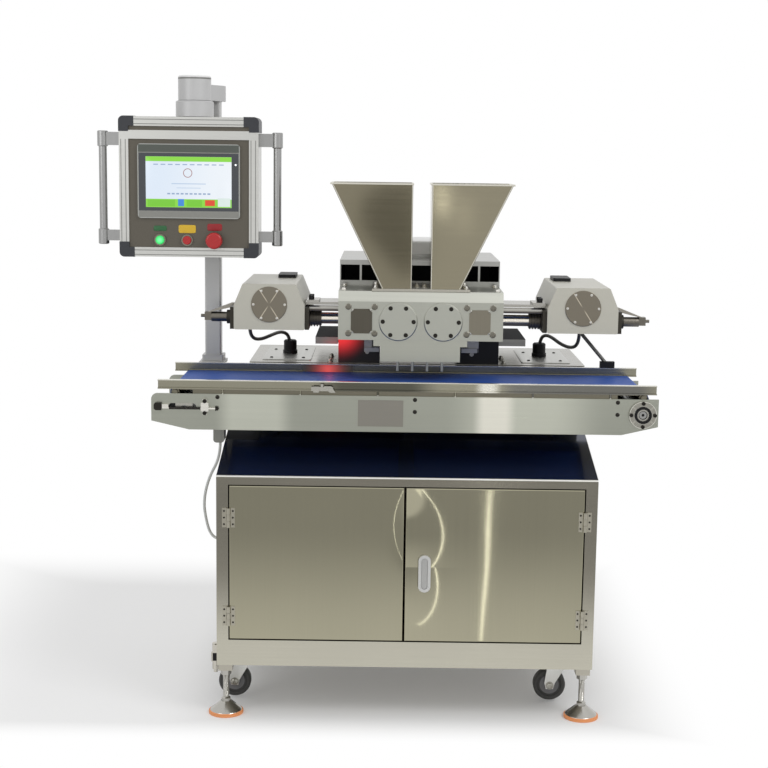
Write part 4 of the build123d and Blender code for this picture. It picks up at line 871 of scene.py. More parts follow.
@dataclass(frozen=True)
class Lit(Finish):
    """Clear coloured cap with a lamp behind it, brightest in the middle of its face."""

    colour: Colour
    light: Colour
    lamp: Point
    reach: float

    def shader(self, graph: Graph) -> Wire:
        """Glossy cap that glows by how near a point is to the lamp, seen from the front.

        Args:
            graph: The graph of the material.

        Returns:
            The surface.
        """
        x, _, z = graph.place()
        near = 1.0 - graph.step(graph.length(x - self.lamp[0], z - self.lamp[2]), 0.0, self.reach)
        grain = graph.noise(EVEN, 700.0, 2.0)
        return graph.principled(
            Base_Color=graph.shade(self.colour, 1.0 + grain * 0.1),
            Roughness=0.2 + grain * 0.1,
            Emission_Color=graph.mix(self.colour, self.light, near),
            Emission_Strength=0.7,
        )


@dataclass(frozen=True)
class PaintedLampLight(Finish):
    """A piece beside a red sensor lamp: its own finish plus painted light, as emission, for the light falling
    on it.
    """

    colour: Colour
    light: Colour
    lamp: Point
    reach: float
    core: float = 0.012

    def shader(self, graph: Graph) -> Wire:
        """Satin surface with painted light, as emission, that fades with the distance from the lamp, from the
        core to the reach.

        Args:
            graph: The graph of the material.

        Returns:
            The surface.
        """
        away = [wire - middle for wire, middle in zip(graph.place(), self.lamp)]
        # painted light: emission that fades from the lamp stands in for its red light on the piece
        near = 1.0 - graph.step(graph.length(*away), self.core, self.reach)
        grain = graph.noise(EVEN, 420.0)
        return graph.principled(
            Base_Color=graph.shade(self.colour, 1.0 + grain * 0.3),
            Metallic=0.2,
            Roughness=0.4 + grain * 0.15,
            Emission_Color=graph.mix((0.0, 0.0, 0.0), self.light, near * near),
            Emission_Strength=1.0,
            Normal=graph.bump(grain, 0.0001, 0.5),
        )


@dataclass(frozen=True)
class Patch:
    """A box on a node that has a finish of its own, in mm from the cabinet's middle, front and floor."""

    finish: Finish
    x: Span = (None, None)
    y: Span = (None, None)
    z: Span = (None, None)
    soft: float = SOFT / MM

    def share(self, graph: Graph) -> Wire:
        """1 inside the box and 0 outside it, as a product of steps.

        Args:
            graph: The graph of the material.

        Returns:
            The share.
        """
        sides: list[Wire] = []
        spans = zip(graph.place(), (self.x, self.y, self.z), (MACHINE_X, MACHINE_Y, 0.0))
        for wire, (low, high), zero in spans:
            if low is not None:
                sides.append(wire.above(low * MM + zero, self.soft * MM))
            if high is not None:
                sides.append(wire.below(high * MM + zero, self.soft * MM))
        return math.prod(sides[1:], start=sides[0])


@dataclass(frozen=True)
class Ring:
    """A ring about an axis along y that has a finish of its own, in mm like a patch."""

    finish: Finish
    x: float
    z: float
    inner: float
    outer: float
    y_high: float

    def share(self, graph: Graph) -> Wire:
        """1 between the two radii in front of the back plane and 0 elsewhere.

        Args:
            graph: The graph of the material.

        Returns:
            The share.
        """
        x, y, z = graph.place()
        middle = at(self.x, self.y_high, self.z)
        radius = graph.length(x - middle[0], z - middle[2])
        return radius.between(self.inner * MM, self.outer * MM) * y.below(middle[1])


@dataclass(frozen=True)
class Seam:
    """A straight strip in the front view that has a finish of its own, in mm like a patch."""

    finish: Finish
    start: tuple[float, float]
    end: tuple[float, float]
    half: float

    def share(self, graph: Graph) -> Wire:
        """1 within half a width of the line from the start to the end and 0 elsewhere.

        Args:
            graph: The graph of the material.

        Returns:
            The share.
        """
        x, _, z = graph.place()
        run = (Vector(self.end) - Vector(self.start)) * MM
        way = run.normalized()
        across = x - (self.start[0] * MM + MACHINE_X)
        up = z - self.start[1] * MM
        off = (across * way.y - up * way.x).absolute()
        return off.below(self.half * MM) * (across * way.x + up * way.y).between(0.0, run.length)


@dataclass(frozen=True)
class Patched(Finish):
    """One finish with others on parts of the node."""

    ground: Finish
    patches: tuple[Patch | Ring | Seam, ...]

    def shader(self, graph: Graph) -> Wire:
        """The ground's shader, replaced inside each patch by the patch's own.

        Args:
            graph: The graph of the material.

        Returns:
            The surface.
        """
        surface = self.ground.shader(graph)
        for patch in self.patches:
            surface = graph.blend(surface, patch.finish.shader(graph), patch.share(graph))
        return surface


def tone(red: int, green: int, blue: int) -> Colour:
    """Linear colour of three display values, by the usual display curve.

    Args:
        red: Red from 0 to 255.
        green: Green from 0 to 255.
        blue: Blue from 0 to 255.

    Returns:
        The colour that a shader takes.
    """
    shares = np.array((red, green, blue)) / 255
    linear = np.where(shares <= 0.04045, shares / 12.92, ((shares + 0.055) / 1.055) ** 2.4)
    return tuple(float(v) for v in linear)


SCREW = Brushed("screw_steel", tone(168, 166, 158), Axis.X, 0.3, 0.08, 0.1, 600.0)
DARK_SCREW = Brushed("blackened_screw", tone(52, 50, 47), Axis.X, 0.4, 0.1, 0.1, 600.0)
BRIGHT = Brushed("bright_rod", tone(206, 204, 198), Axis.X, 0.36, 0.06, 0.04, 300.0, 0.75)
BLACK = Satin("black_plastic_moulding", tone(23, 23, 25), 0.0, 0.5, 0.12, 650.0, mirror=0.22)
BLACK_METAL = Satin("black_coated_steel", tone(24, 24, 26), 0.0, 0.45, 0.12, 420.0, mirror=0.25)
CABLE_BLACK = Satin("cable_jacket", tone(72, 71, 69), 0.0, 0.38, 0.1, 300.0)
CONDUIT_GREY = Satin("conduit_jacket", tone(206, 208, 206), 0.0, 0.4, 0.06, 300.0)


@dataclass(frozen=True)
class Cord:
    """One cord along a smooth spline whose control points are its rows, in mm; the rest is in metres."""

    node: str
    radius: float
    finish: Finish
    length: float
    slot: str
    rows: tuple[Point, ...]

    def build(self) -> None:
        """Makes the curve in place of its node, hides the node and logs the cord's length."""
        points = spots(self.rows)
        curve = bpy.data.curves.new(self.node + "_cord", "CURVE")
        curve.dimensions = "3D"
        curve.bevel_depth = self.radius
        curve.bevel_resolution = 5
        curve.resolution_u = 16
        curve.use_fill_caps = True
        spline = curve.splines.new("NURBS")
        spline.points.add(len(points) - 1)
        spline.points.foreach_set("co", np.hstack((points, np.ones((len(points), 1)))).ravel())
        spline.order_u = 3
        spline.use_endpoint_u = True
        curve.materials.append(self.finish.make())
        piece = bpy.data.objects.new(self.node + "_cord", curve)
        bpy.context.scene.collection.objects.link(piece)
        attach(piece, "machine")
        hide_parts(self.node)
        log.info("%s: cord of %.3f m", self.node, self.length)


@dataclass
class Cords:
    """Drive cables down to the deck glands and the conduit loop on the cabinet's left side."""

    left: Cord = Cord("cable_left", 0.0045, CABLE_BLACK, 0.2664, "cable_black", (
        (-398, 300, 931), (-398, 300, 904), (-388.9, 318, 885), (-371.61, 352.2, 881), (-352.5, 390, 886),
        (-338, 429.6, 889), (-325, 458, 888), (-310.5, 477, 877), (-307, 480, 853),
    ))
    right: Cord = Cord("cable_right", 0.0045, CABLE_BLACK, 0.2734, "cable_black", (
        (432, 300, 931), (432, 300, 901), (427, 318, 877), (414, 352.2, 869), (395, 390, 874),
        (376, 429.6, 887), (363, 458, 889), (352.5, 477, 878), (349.5, 480, 853),
    ))
    loop: Cord = Cord("conduit_loop", 0.0035, CONDUIT_GREY, 0.2879, "conduit_grey", (
        (-464, 220, 640), (-464, 220, 600), (-494, 220, 545), (-507, 220, 484), (-499, 220, 432),
        (-490, 220, 404), (-474, 220, 389), (-452, 220, 389),
    ))

    def build(self) -> None:
        """Makes the two drive cables and the conduit."""
        for cord in (self.left, self.right, self.loop):
            cord.build()


@dataclass
class Cabinet:
    """Sheet cabinet with its front frame, doors, hinges and latch."""

    roof_level: float = 600.6
    roof_side: float = 449.4
    roof_back: float = 659.4
    roof_top: float = 676.6
    dull_right: float = -366.0
    dull_front: float = 205.0
    lip_low: float = 596.5
    sill_top: float = 290.0
    sill_fade: float = 110.0
    skin: float = -0.3
    hinge_levels: tuple[float, float] = (259.0, 499.0)
    hinge_middle: float = 421.0
    leaf_half: tuple[float, float] = (17.0, 26.0)
    leaf_screw: float = 10.5
    screw_rises: tuple[float, ...] = (-16.0, 0.0, 16.0)
    screw_front: float = -2.0
    latch_middle: tuple[float, float] = (44.0, 369.0)
    latch_half: tuple[float, float] = (14.6, 45.2)
    side: Finish = Brushed("cabinet_side_steel", tone(176, 172, 160), Axis.Z, 0.34, 0.07, 0.12)
    # painted reflection: the roof's dark navy stands in for the conveyor's dark underside and blue belt
    # mirrored in it
    roof: Finish = Satin("roof_painted_dark_reflection", tone(44, 53, 78), 0.6, 0.16, 0.1, 90.0, 0.00002, 0.3)
    # darker and duller still at the rear-left corner of the roof
    dull_roof: Finish = Satin("dull_roof_steel", tone(22, 24, 29), 0.2, 0.6, 0.1, 90.0, mirror=0.08)
    frame_steel: Finish = Sheet("front_frame_steel", tone(146, 142, 130), Axis.X, 0.18, 0.04, 0.06, 0.0003)
    # painted reflection: the bottom rail in a lighter copy of the frame steel, fading out upwards
    sill_painted_reflection: Finish = Sheet("front_sill_steel", tone(186, 183, 169), Axis.X, 0.2, 0.06, 0.06, 0.0003)
    # painted highlight: near-white band along the top bend of the frame
    lip_painted_highlight: Finish = Brushed("frame_lip_steel", tone(238, 237, 230), Axis.X, 0.34, 0.04, 0.04, 160.0, 0.4)
    leaf_steel: Finish = Brushed("hinge_leaf_steel", tone(172, 168, 154), Axis.Z, 0.34, 0.06, 0.08, 300.0)
    door_tone: Colour = tone(164, 160, 139)
    left_pull: Pull = Pull(-4.0, -1, -0.2, ((488.0, 23.5, 0.0034),), 12.0)
    right_pull: Pull = Pull(-4.0, 1, 0.2, ((444.0, 60.0, 0.0027), (300.0, 62.0, 0.0017)), 25.0)
    latch_grey: Finish = Satin("latch_casting", tone(206, 206, 204), 0.6, 0.3, 0.05, 400.0)
    lever_grey: Finish = Satin("latch_lever_casting", tone(178, 178, 176), 0.6, 0.32, 0.05, 400.0)

    def front_patch(self, finish: Finish, x: float, z: float, half: tuple[float, float]) -> Patch:
        """A finish on what stands out from the front, by its middle and half its size."""
        wide, tall = half
        return Patch(finish, (x - wide, x + wide), (None, self.skin), (z - tall, z + tall))

    def door(self, word: str, pull: Pull) -> Finish:
        """Finish of one door's sheet."""
        return Sheet(word + "_door_steel", self.door_tone, Axis.Z, 0.055, 0.03, 0.05, 0.0004, (pull,))

    def build(self, frame: dict[str, Any]) -> None:
        """Dresses the sheet metal and sets the hinge screws.

        Args:
            frame: The loaded frame.
        """
        # painted reflection on the roof, darker and duller at its rear-left corner
        corner = Patch(self.dull_roof, (None, self.dull_right), (self.dull_front, None), soft=8.0)
        sheet = Patched("roof_painted_reflection_and_corner", self.roof, (corner,))
        sides = (-self.roof_side, self.roof_side)
        roof = Patch(sheet, sides, (None, self.roof_back), (self.roof_level, self.roof_top))
        hinges = [(x, z) for x in (-self.hinge_middle, self.hinge_middle) for z in self.hinge_levels]
        leaves = tuple(self.front_patch(self.leaf_steel, x, z, self.leaf_half) for x, z in hinges)
        latch = self.front_patch(self.latch_grey, *self.latch_middle, self.latch_half)
        # painted reflection: the bottom rail lighter than the rest of the frame
        sill = Patch(self.sill_painted_reflection, z=(None, self.sill_top), soft=self.sill_fade)
        # painted highlight along the top edge of the frame
        lip = Patch(self.lip_painted_highlight, z=(self.lip_low, None))
        left, right = self.door("left", self.left_pull), self.door("right", self.right_pull)
        dress(frame, {
            "cabinet_shell": Patched("cabinet_shell_steel", self.side, (roof,)),
            "cabinet_front_frame": Patched("frame_and_hinges", self.frame_steel, (sill, lip, *leaves)),
            "door_left": Patched("left_door_and_hinges", left, leaves),
            "door_right": Patched("right_door_and_latch", right, (*leaves, latch)),
            "latch_lever": self.lever_grey,
        })
        head = dome_head(0.0024, 0.0013).facing(Axis.Y, -1)
        for word, side in (("left", -1), ("right", 1)):
            for body, reach in (("machine", 1), (word + "_door", -1)):
                x = side * (self.hinge_middle + reach * self.leaf_screw)
                levels = [z + rise for z in self.hinge_levels for rise in self.screw_rises]
                rows = [(x, self.screw_front, level) for level in levels]
                put(f"hinge_screws_{word}_{body}", head, rows, DARK_SCREW, body)


@dataclass
class Undercarriage:
    """Levelling feet and swivel castors."""

    corners: tuple[str, ...] = ("front_left", "rear_left", "front_right", "rear_right")
    foot_x: float = 433.0
    foot_ys: tuple[float, float] = (50.0, 610.0)
    thread_low: float = 42.0
    thread_high: float = 96.0
    pad_top: float = 8.0
    axle_xs: tuple[float, float] = (-421.0, 365.0)
    axle_ys: tuple[float, float] = (155.0, 505.0)
    axle_level: float = 46.0
    fork_half: float = 17.5
    hub_radius: float = 24.0
    hub_back: float = 1000.0
    cone: Finish = Brushed("foot_steel", tone(176, 174, 168), Axis.Z, 0.18, 0.08, 0.08, 300.0)
    pad: Finish = Satin("orange_pad", tone(236, 156, 100), 0.0, 0.55, 0.1, 500.0)
    fork_steel: Finish = Brushed("castor_steel", tone(212, 212, 208), Axis.Z, 0.36, 0.08, 0.12, 300.0, 0.8)
    rubber: Finish = Satin("wheel_rubber", tone(70, 70, 69), 0.0, 0.6, 0.14, 350.0, 0.0003, mirror=0.3)
    hub: Finish = Satin("wheel_hub", tone(112, 112, 114), 0.0, 0.5, 0.08, 350.0)

    def build(self, frame: dict[str, Any]) -> None:
        """Dresses feet and castors and cuts the thread of each stem.

        Args:
            frame: The loaded frame.
        """
        foot = Patched("foot_on_pad", self.cone, (Patch(self.pad, z=(None, self.pad_top)),))
        rod = thread(0.0076, 0.0009, 0.002, (self.thread_high - self.thread_low) * MM)
        nut = hex_head(0.008, 0.006)
        dress(frame, {"castor_plates": self.fork_steel})
        for corner in self.corners:
            right = int(corner.endswith("right"))
            rear = int(corner.startswith("rear"))
            axle_x, axle_y = self.axle_xs[right], self.axle_ys[rear]
            face = Ring(self.hub, axle_x, self.axle_level, 0.0, self.hub_radius, self.hub_back)
            dress(frame, {
                "foot_" + corner: foot,
                "castor_fork_" + corner: self.fork_steel,
                "castor_wheel_" + corner: Patched("wheel_" + corner, self.rubber, (face,)),
            })
            rows = [(self.foot_x * (2 * right - 1), self.foot_ys[rear], self.thread_low)]
            put("foot_thread_" + corner, rod, rows, self.cone, body="foot_" + corner, smooth=60.0)
            for word, sign in (("front", -1), ("rear", 1)):
                rows = [(axle_x, axle_y + sign * self.fork_half, self.axle_level)]
                end = nut.facing(Axis.Y, sign)
                put(f"axle_nut_{word}_{corner}", end, rows, SCREW, body="castor_fork_" + corner)


@dataclass
class Conveyor:
    """Belt conveyor: plates, belt, rollers, rails, fittings and its screws."""

    # painted reflections on the front plate: paler bands by x, and one bright highlight
    plate_lights: tuple[tuple[float, float, float], ...] = ((-433.0, -288.0, 24.0), (150.0, 400.0, 70.0))
    plate_light: tuple[float, float, float] = (163.0, 240.0, 16.0)
    rail_back: float = 250.0
    # spans of painted light on the rails: red sensor light on the rear one, dark and dim reflections and a
    # highlight on the front one
    glow_x: Span = (-262.0, -138.0)
    dark_x: Span = (-192.0, 40.0)
    dim_x: Span = (225.0, 560.0)
    light_x: Span = (164.0, 206.0)
    rail_lamp: Point = at(-200.0, 291.0, 814.0)
    rail_levels: tuple[float, float] = (794.0, 827.0)
    rail_edges: tuple[float, float] = (1.4, 1.8)
    bearing: tuple[float, float] = (547.0, 758.0)
    bearing_front: float = -8.0
    bearing_screws: float = 27.5
    seal_radius: float = 22.5
    seal_back: float = -8.2
    rim_radius: float = 30.8
    flange_radius: float = 34.0
    flange_back: float = -7.6
    hub_rings: tuple[tuple[float, float], ...] = ((0.0, 3.4), (8.6, 10.4))
    take_up_x: Span = (-600.0, -440.0)
    take_up_z: Span = (740.0, 790.0)
    boss_x: Span = (-600.0, -575.0)
    blank_x: Span = (-119.0, -11.0)
    blank_y: Span = (-2.0, 0.0)
    blank_z: Span = (720.0, 785.0)
    plate_screws: tuple[Point, ...] = (
        (488.4, 0, 786.0), (488.4, 0, 757.0), (15.0, 0, 786.0), (15.0, 0, 757.5), (-446.0, 0, 786.5),
    )
    take_up_screws: tuple[Point, ...] = ((-475, -8, 778), (-475, -8, 750))
    take_up_rod: Point = (-559, -4, 760)
    take_up_nut: Point = (-450, -4, 760)
    take_up_blind: Point = (-553.7, 8, 761)
    plate_steel: Finish = Brushed("conveyor_plate_steel", tone(165, 167, 156), Axis.X, 0.32, 0.05, 0.08)
    # painted reflection and painted highlight: paler and brighter copies of the plate steel
    plate_painted_sheen: Finish = Brushed("conveyor_plate_pale_steel", tone(198, 200, 187), Axis.X, 0.32, 0.05, 0.06)
    plate_painted_glare: Finish = Brushed("conveyor_plate_lit_steel", tone(232, 230, 218), Axis.X, 0.32, 0.05, 0.04)
    rail_steel: Finish = Brushed("rail_steel", tone(148, 145, 129), Axis.X, 0.22, 0.09, 0.06)
    # painted reflections and a painted highlight: darker, dimmer and brighter copies of the rail steel
    rail_painted_dark_reflection: Finish = Brushed("rail_dark_steel", tone(92, 91, 81), Axis.X, 0.22, 0.09, 0.06)
    rail_painted_dim_reflection: Finish = Brushed("rail_dim_steel", tone(116, 115, 110), Axis.X, 0.22, 0.09, 0.06)
    painted_edge_highlight: Finish = Brushed("rail_edge_steel", tone(222, 220, 210), Axis.X, 0.24, 0.05, 0.05)
    # painted light: emission for the red sensor lamp's light on the rear rail
    rail_painted_red_light: Finish = PaintedLampLight("lit_rail", tone(104, 96, 88), (1.12, 0.1, 0.1), rail_lamp, 0.075, -0.03)
    bed_steel: Finish = Brushed("bed_steel", tone(124, 120, 106), Axis.X, 0.35)
    roller_steel: Finish = Brushed("roller_steel", tone(160, 160, 158), Axis.Y, 0.25)
    fitting_steel: Finish = Brushed("fitting_steel", tone(178, 176, 168), Axis.X, 0.26, 0.08, 0.1, 300.0)
    # bright steel of the take-up; also the painted highlight on the bearing flange's rim
    take_up_steel_and_rim_highlight: Finish = Brushed("take_up_steel_and_rim_highlight", tone(224, 222, 214), Axis.X, 0.2, 0.06, 0.08, 300.0)
    blank_plate: Finish = Brushed("bare_plate", tone(143, 140, 132), Axis.X, 0.4, 0.05, 0.06)
    belt: Finish = Belting("blue_belt", tone(46, 88, 172))
    bearing_black: Finish = Satin("bearing_seal", tone(20, 20, 21), 0.0, 0.5, 0.1, 500.0, mirror=0.2)
    box_grey: Finish = Satin("wiring_box_grey", tone(150, 150, 142), 0.2, 0.45)

    def plates(self) -> Finish:
        """Finish of the side plates: steel with painted reflections in paler bands along its length, one a
        bright highlight.

        Returns:
            The finish.
        """
        lights = [(self.plate_painted_sheen, *light) for light in self.plate_lights]
        lights.append((self.plate_painted_glare, *self.plate_light))
        patches = tuple(Patch(steel, (low, high), soft=soft) for steel, low, high, soft in lights)
        return Patched("plate_pair_steel", self.plate_steel, patches)

    def rails(self) -> Finish:
        """Finish of the guide rails: painted highlights on both long edges, and painted red sensor light on
        the rear rail.

        The front rail has painted dark and dim reflections along parts of its length, and one painted
        highlight.

        Returns:
            The finish.
        """
        low, high = self.rail_levels
        low_edge, high_edge = self.rail_edges
        front = (None, self.rail_back)
        patches = (
            # painted light on the rails: red glow, dark and dim reflections, a highlight and bright edges
            Patch(self.rail_painted_red_light, self.glow_x, (self.rail_back, None), soft=12.0),
            Patch(self.rail_painted_dark_reflection, self.dark_x, front, soft=40.0),
            Patch(self.rail_painted_dim_reflection, self.dim_x, front, soft=30.0),
            Patch(self.painted_edge_highlight, self.light_x, front, soft=14.0),
            Patch(self.painted_edge_highlight, z=(high - high_edge, None)),
            Patch(self.painted_edge_highlight, z=(None, low + low_edge)),
        )
        return Patched("rails_and_edges", self.rail_steel, patches)

    def fittings(self) -> Finish:
        """Finish of the fittings: turned flange with painted highlights, seal, bright take-up, dark boss,
        bare plate.

        Returns:
            The finish.
        """
        x, z = self.bearing
        middle, _, level = at(x, 0.0, z)
        turned = Turned("bearing_flange", tone(158, 156, 147), (middle, middle + 1.0), level, 0.3, 0.9)
        patches = (
            # painted highlight: bright rays on the turned flange, and a bright ring on its outer rim
            Ring(turned, x, z, self.seal_radius, self.flange_radius, self.flange_back),
            Ring(self.take_up_steel_and_rim_highlight, x, z, self.rim_radius, self.flange_radius, self.flange_back),
            Ring(self.bearing_black, x, z, 0.0, self.seal_radius, self.seal_back),
            Patch(self.take_up_steel_and_rim_highlight, self.take_up_x, (None, -0.2), self.take_up_z),
            Patch(DARK_SCREW, self.boss_x, (None, -0.6), self.take_up_z),
            Patch(self.blank_plate, self.blank_x, self.blank_y, self.blank_z),
        )
        return Patched("conveyor_fittings_steel", self.fitting_steel, patches)

    def build(self, frame: dict[str, Any]) -> None:
        """Dresses the conveyor and sets its screws and the parts of the take-up.

        Args:
            frame: The loaded frame.
        """
        x, z = self.bearing
        hub = tuple(Ring(self.bearing_black, x, z, *radii, 0.0) for radii in self.hub_rings)
        dress(frame, {
            "conveyor_side_plates": self.plates(),
            "conveyor_bed": self.bed_steel,
            "conveyor_belt": self.belt,
            "drive_roller": Patched("roller_and_hub", self.roller_steel, hub),
            "tail_roller": self.roller_steel,
            "guide_rails": self.rails(),
            "conveyor_fittings": self.fittings(),
            "wiring_box": self.box_grey,
        })
        cap = socket_head(0.0046, 0.003).facing(Axis.Y, -1)
        ring = circle_of((x, self.bearing_front, z), self.bearing_screws, 4)
        put("bearing_screws", cap, ring, DARK_SCREW)
        plate = dome_head(0.005, 0.0026).facing(Axis.Y, -1)
        put("plate_screws", plate, self.plate_screws, DARK_SCREW)
        block = socket_head(0.0048, 0.004).facing(Axis.Y, -1)
        put("take_up_screws", block, self.take_up_screws, DARK_SCREW)
        rod = thread(0.0031, 0.0006, 0.0014, 0.074, 16).facing(Axis.X)
        put("take_up_thread", rod, [self.take_up_rod], DARK_SCREW, smooth=60.0)
        nut = hex_head(0.0045, 0.006).facing(Axis.X)
        put("take_up_nut", nut, [self.take_up_nut], DARK_SCREW)
        blind = pillow(0.0165, 0.026, 0.0025, 0.002, 0.0004)
        put("take_up_blind", blind, [self.take_up_blind], BLACK_METAL)


@dataclass
class Deck:
    """Deck with its screwed covers, glands, bolts and the pendant's post."""

    deck_top: float = 828.0
    cover_top: float = 830.0
    cover_xs: tuple[float, float] = (-308.0, 355.0)
    cover_half: float = 62.5
    cover_ys: tuple[float, float] = (349.0, 611.0)
    screw_reach: float = 41.0
    screw_ys: tuple[float, float] = (386.0, 546.0)
    bolt_xs: tuple[float, float] = (-196.0, 246.0)
    bolt_ys: tuple[float, float] = (335.0, 430.0)
    deck_steel: Finish = Brushed("deck_steel", tone(160, 158, 151), Axis.X, 0.28, 0.05, 0.10)
    cover_steel: Finish = Brushed("deck_cover_steel", tone(180, 180, 175), Axis.Y, 0.34, 0.05, 0.08)
    post_steel: Finish = Satin("post_paint", tone(186, 186, 185), 0.35, 0.36, 0.03, 300.0)

    def build(self, frame: dict[str, Any]) -> None:
        """Dresses the deck and sets its screws and bolts.

        Args:
            frame: The loaded frame.
        """
        spans = [(x - self.cover_half, x + self.cover_half) for x in self.cover_xs]
        over = (self.deck_top + 0.2, None)
        covers = tuple(Patch(self.cover_steel, span, self.cover_ys, over) for span in spans)
        dress(frame, {
            "deck_plate": Patched("deck_and_covers", self.deck_steel, covers),
            "cable_glands": BLACK,
            "pendant_post": self.post_steel,
        })
        xs = [x + reach for x in self.cover_xs for reach in (-self.screw_reach, self.screw_reach)]
        rows = [(x, y, self.cover_top) for x in xs for y in self.screw_ys]
        put("deck_cover_screws", dome_head(0.0045, 0.0024), rows, DARK_SCREW)
        rows = [(x, y, self.deck_top) for x in self.bolt_xs for y in self.bolt_ys]
        put("deck_bolts", hex_head(0.006, 0.007), rows, SCREW)


def corners(middle: Point, wide: float, tall: float) -> list[Point]:
    """Four places about a middle in the front view, by half their distances."""
    x, y, z = middle
    return [(x + across, y, z + up) for across in (-wide, wide) for up in (-tall, tall)]


@dataclass
class Head:
    """Depositing head: block, valve covers, side plates, manifold, hoppers and pedestals."""

    middle: float = 28.0
    front: float = 125.0
    block_top: float = 1027.0
    bevel_back: float = 137.2
    bevel_low: float = 1002.8
    hood_front: float = 302.0
    hood_low: float = 995.0
    valve_offset: float = 54.0
    valve_level: float = 955.5
    valve_front: float = 119.0
    valve_screws: float = 37.0
    plate_offset: float = 142.0
    plate_level: float = 958.0
    plate_bolts: tuple[float, float] = (31.5, 32.0)
    plate_screws: tuple[float, float] = (22.0, 26.5)
    inner_nuts: tuple[float, float, float] = (9.0, 190.0, 240.0)
    outer_nuts: tuple[float, float, float] = (108.0, 160.0, 258.0)
    top_bolts: tuple[float, float, float] = (186.0, 160.0, 278.0)
    hopper_levels: tuple[float, float] = (1033.0, 1284.0)
    hopper_reaches: tuple[float, float, float] = (23.8, 92.6, 215.6)
    seam_half: float = 1.1
    rim_low: float = 1280.5
    glow_lamp: Point = at(-170, 318, 904)
    clamp_xs: tuple[Span, ...] = ((-110.0, -71.0), (135.0, 180.0))
    clamp_y: Span = (None, 317.9)
    clamp_z: Span = (858.0, 911.0)
    right_pedestal: float = 60.0
    clamp_bolts: tuple[Point, ...] = ((-102, 318, 856), (163, 318, 853))
    block_steel: Finish = Brushed("head_block_steel", tone(173, 174, 165), Axis.X, 0.34, 0.05, 0.10)
    # painted highlight: the block's top bevel in a lighter copy of its steel
    bevel_painted_highlight: Finish = Brushed("head_bevel_steel", tone(192, 193, 184), Axis.X, 0.3, 0.05, 0.05)
    # painted shade: near black on the head block where it runs under the hood
    inside: Finish = Satin("head_block_painted_shade", tone(20, 20, 21), 0.2, 0.5, 0.2, 90.0)
    manifold_steel: Finish = Brushed("manifold_steel", tone(175, 176, 166), Axis.X, 0.34, 0.05, 0.10)
    hopper_steel: Finish = Sheet("hopper_steel", tone(140, 134, 115), Axis.X, 0.085, 0.05, 0.06, 0.0005)
    # painted reflection: the left hopper in a darker copy of the hopper steel
    hopper_painted_dark_reflection: Finish = Sheet("left_hopper_with_painted_reflection", tone(128, 122, 104), Axis.X, 0.085, 0.05, 0.06, 0.0005)
    # painted highlight: bright lines on the hoppers' edges and rims
    painted_seam_highlight: Finish = Brushed("hopper_seam_steel", tone(212, 209, 198), Axis.Z, 0.3, 0.05, 0.05, 300.0)
    flange_steel: Finish = Brushed("hopper_flange_steel", tone(176, 173, 163), Axis.X, 0.3)
    # painted shade: the left side plate in a darker tone than the right one
    dark_plate: Finish = Brushed("left_side_plate_painted_shade", tone(94, 90, 81), Axis.Z, 0.42, 0.12, 0.1, 300.0)
    brown_plate: Finish = Brushed("right_side_plate", tone(132, 127, 114), Axis.Z, 0.4, 0.1, 0.1, 300.0)
    bolt_steel: Finish = Brushed("side_plate_bolt_steel", tone(118, 115, 106), Axis.X, 0.26, 0.08, 0.1, 600.0)
    clamp_grey: Finish = Satin("clamp_casting", tone(184, 184, 181), 0.4, 0.42, 0.08, 300.0)
    # painted light: the sensor's red light on the left pedestal, as emission
    pedestal_painted_red_light: Finish = PaintedLampLight("lit_pedestal", tone(26, 22, 23), (0.9, 0.03, 0.034), glow_lamp, 0.088)

    def pair(self, offset: float) -> tuple[float, float]:
        """Places to the left and right of the head's middle."""
        return (self.middle - offset, self.middle + offset)

    def plan(self, offset: float, near: float, far: float, level: float) -> list[Point]:
        """Four places about the head's middle in the top view."""
        return [(x, y, level) for x in self.pair(offset) for y in (near, far)]

    def four(self, level: float, reach: tuple[float, float]) -> list[Point]:
        """Four places about each side plate's middle in the front view, by half their distances."""
        middles = [(x, level) for x in self.pair(self.plate_offset)]
        return [place for x, z in middles for place in corners((x, self.front, z), *reach)]

    def covers(self) -> Finish:
        """Finish of the two round valve covers, with rings about their middles.

        Returns:
            The finish.
        """
        left, right = (at(x, 0, 0)[0] for x in self.pair(self.valve_offset))
        level = self.valve_level * MM
        return Turned("valve_cover_steel", tone(176, 177, 168), (left, right), level, 0.0, rough=0.36)

    def pedestals(self) -> Finish:
        """Finish of the pedestals: black, the left one with the sensor's red light painted on, with grey
        clamps.

        Returns:
            The finish.
        """
        grips = [Patch(self.clamp_grey, span, self.clamp_y, self.clamp_z) for span in self.clamp_xs]
        right = Patch(BLACK_METAL, (self.right_pedestal, None))
        return Patched("pedestal_steel", self.pedestal_painted_red_light, (right, *grips))

    def hopper_pair(self) -> Finish:
        """Finish of the hoppers: left one painted darker as a reflection; painted highlights on upright and
        raked edges and rims.

        Returns:
            The finish.
        """
        bottom, top = self.hopper_levels
        seams = []
        for side in (-1, 1):
            inner, low, high = (self.middle + side * reach for reach in self.hopper_reaches)
            seams.append(Seam(self.painted_seam_highlight, (inner, bottom), (inner, top), self.seam_half))
            seams.append(Seam(self.painted_seam_highlight, (low, bottom), (high, top), self.seam_half))
        # painted highlights on the rims; painted dark reflection on the left hopper
        rim = Patch(self.painted_seam_highlight, z=(self.rim_low, None))
        left = Patch(self.hopper_painted_dark_reflection, (None, self.middle))
        return Patched("hopper_pair_steel", self.hopper_steel, (left, *seams, rim))

    def build(self, frame: dict[str, Any]) -> None:
        """Dresses the head and sets its screws, bolts and nuts.

        Args:
            frame: The loaded frame.
        """
        # painted highlight on the top bevel
        bevel = Patch(self.bevel_painted_highlight, y=(None, self.bevel_back), z=(self.bevel_low, None))
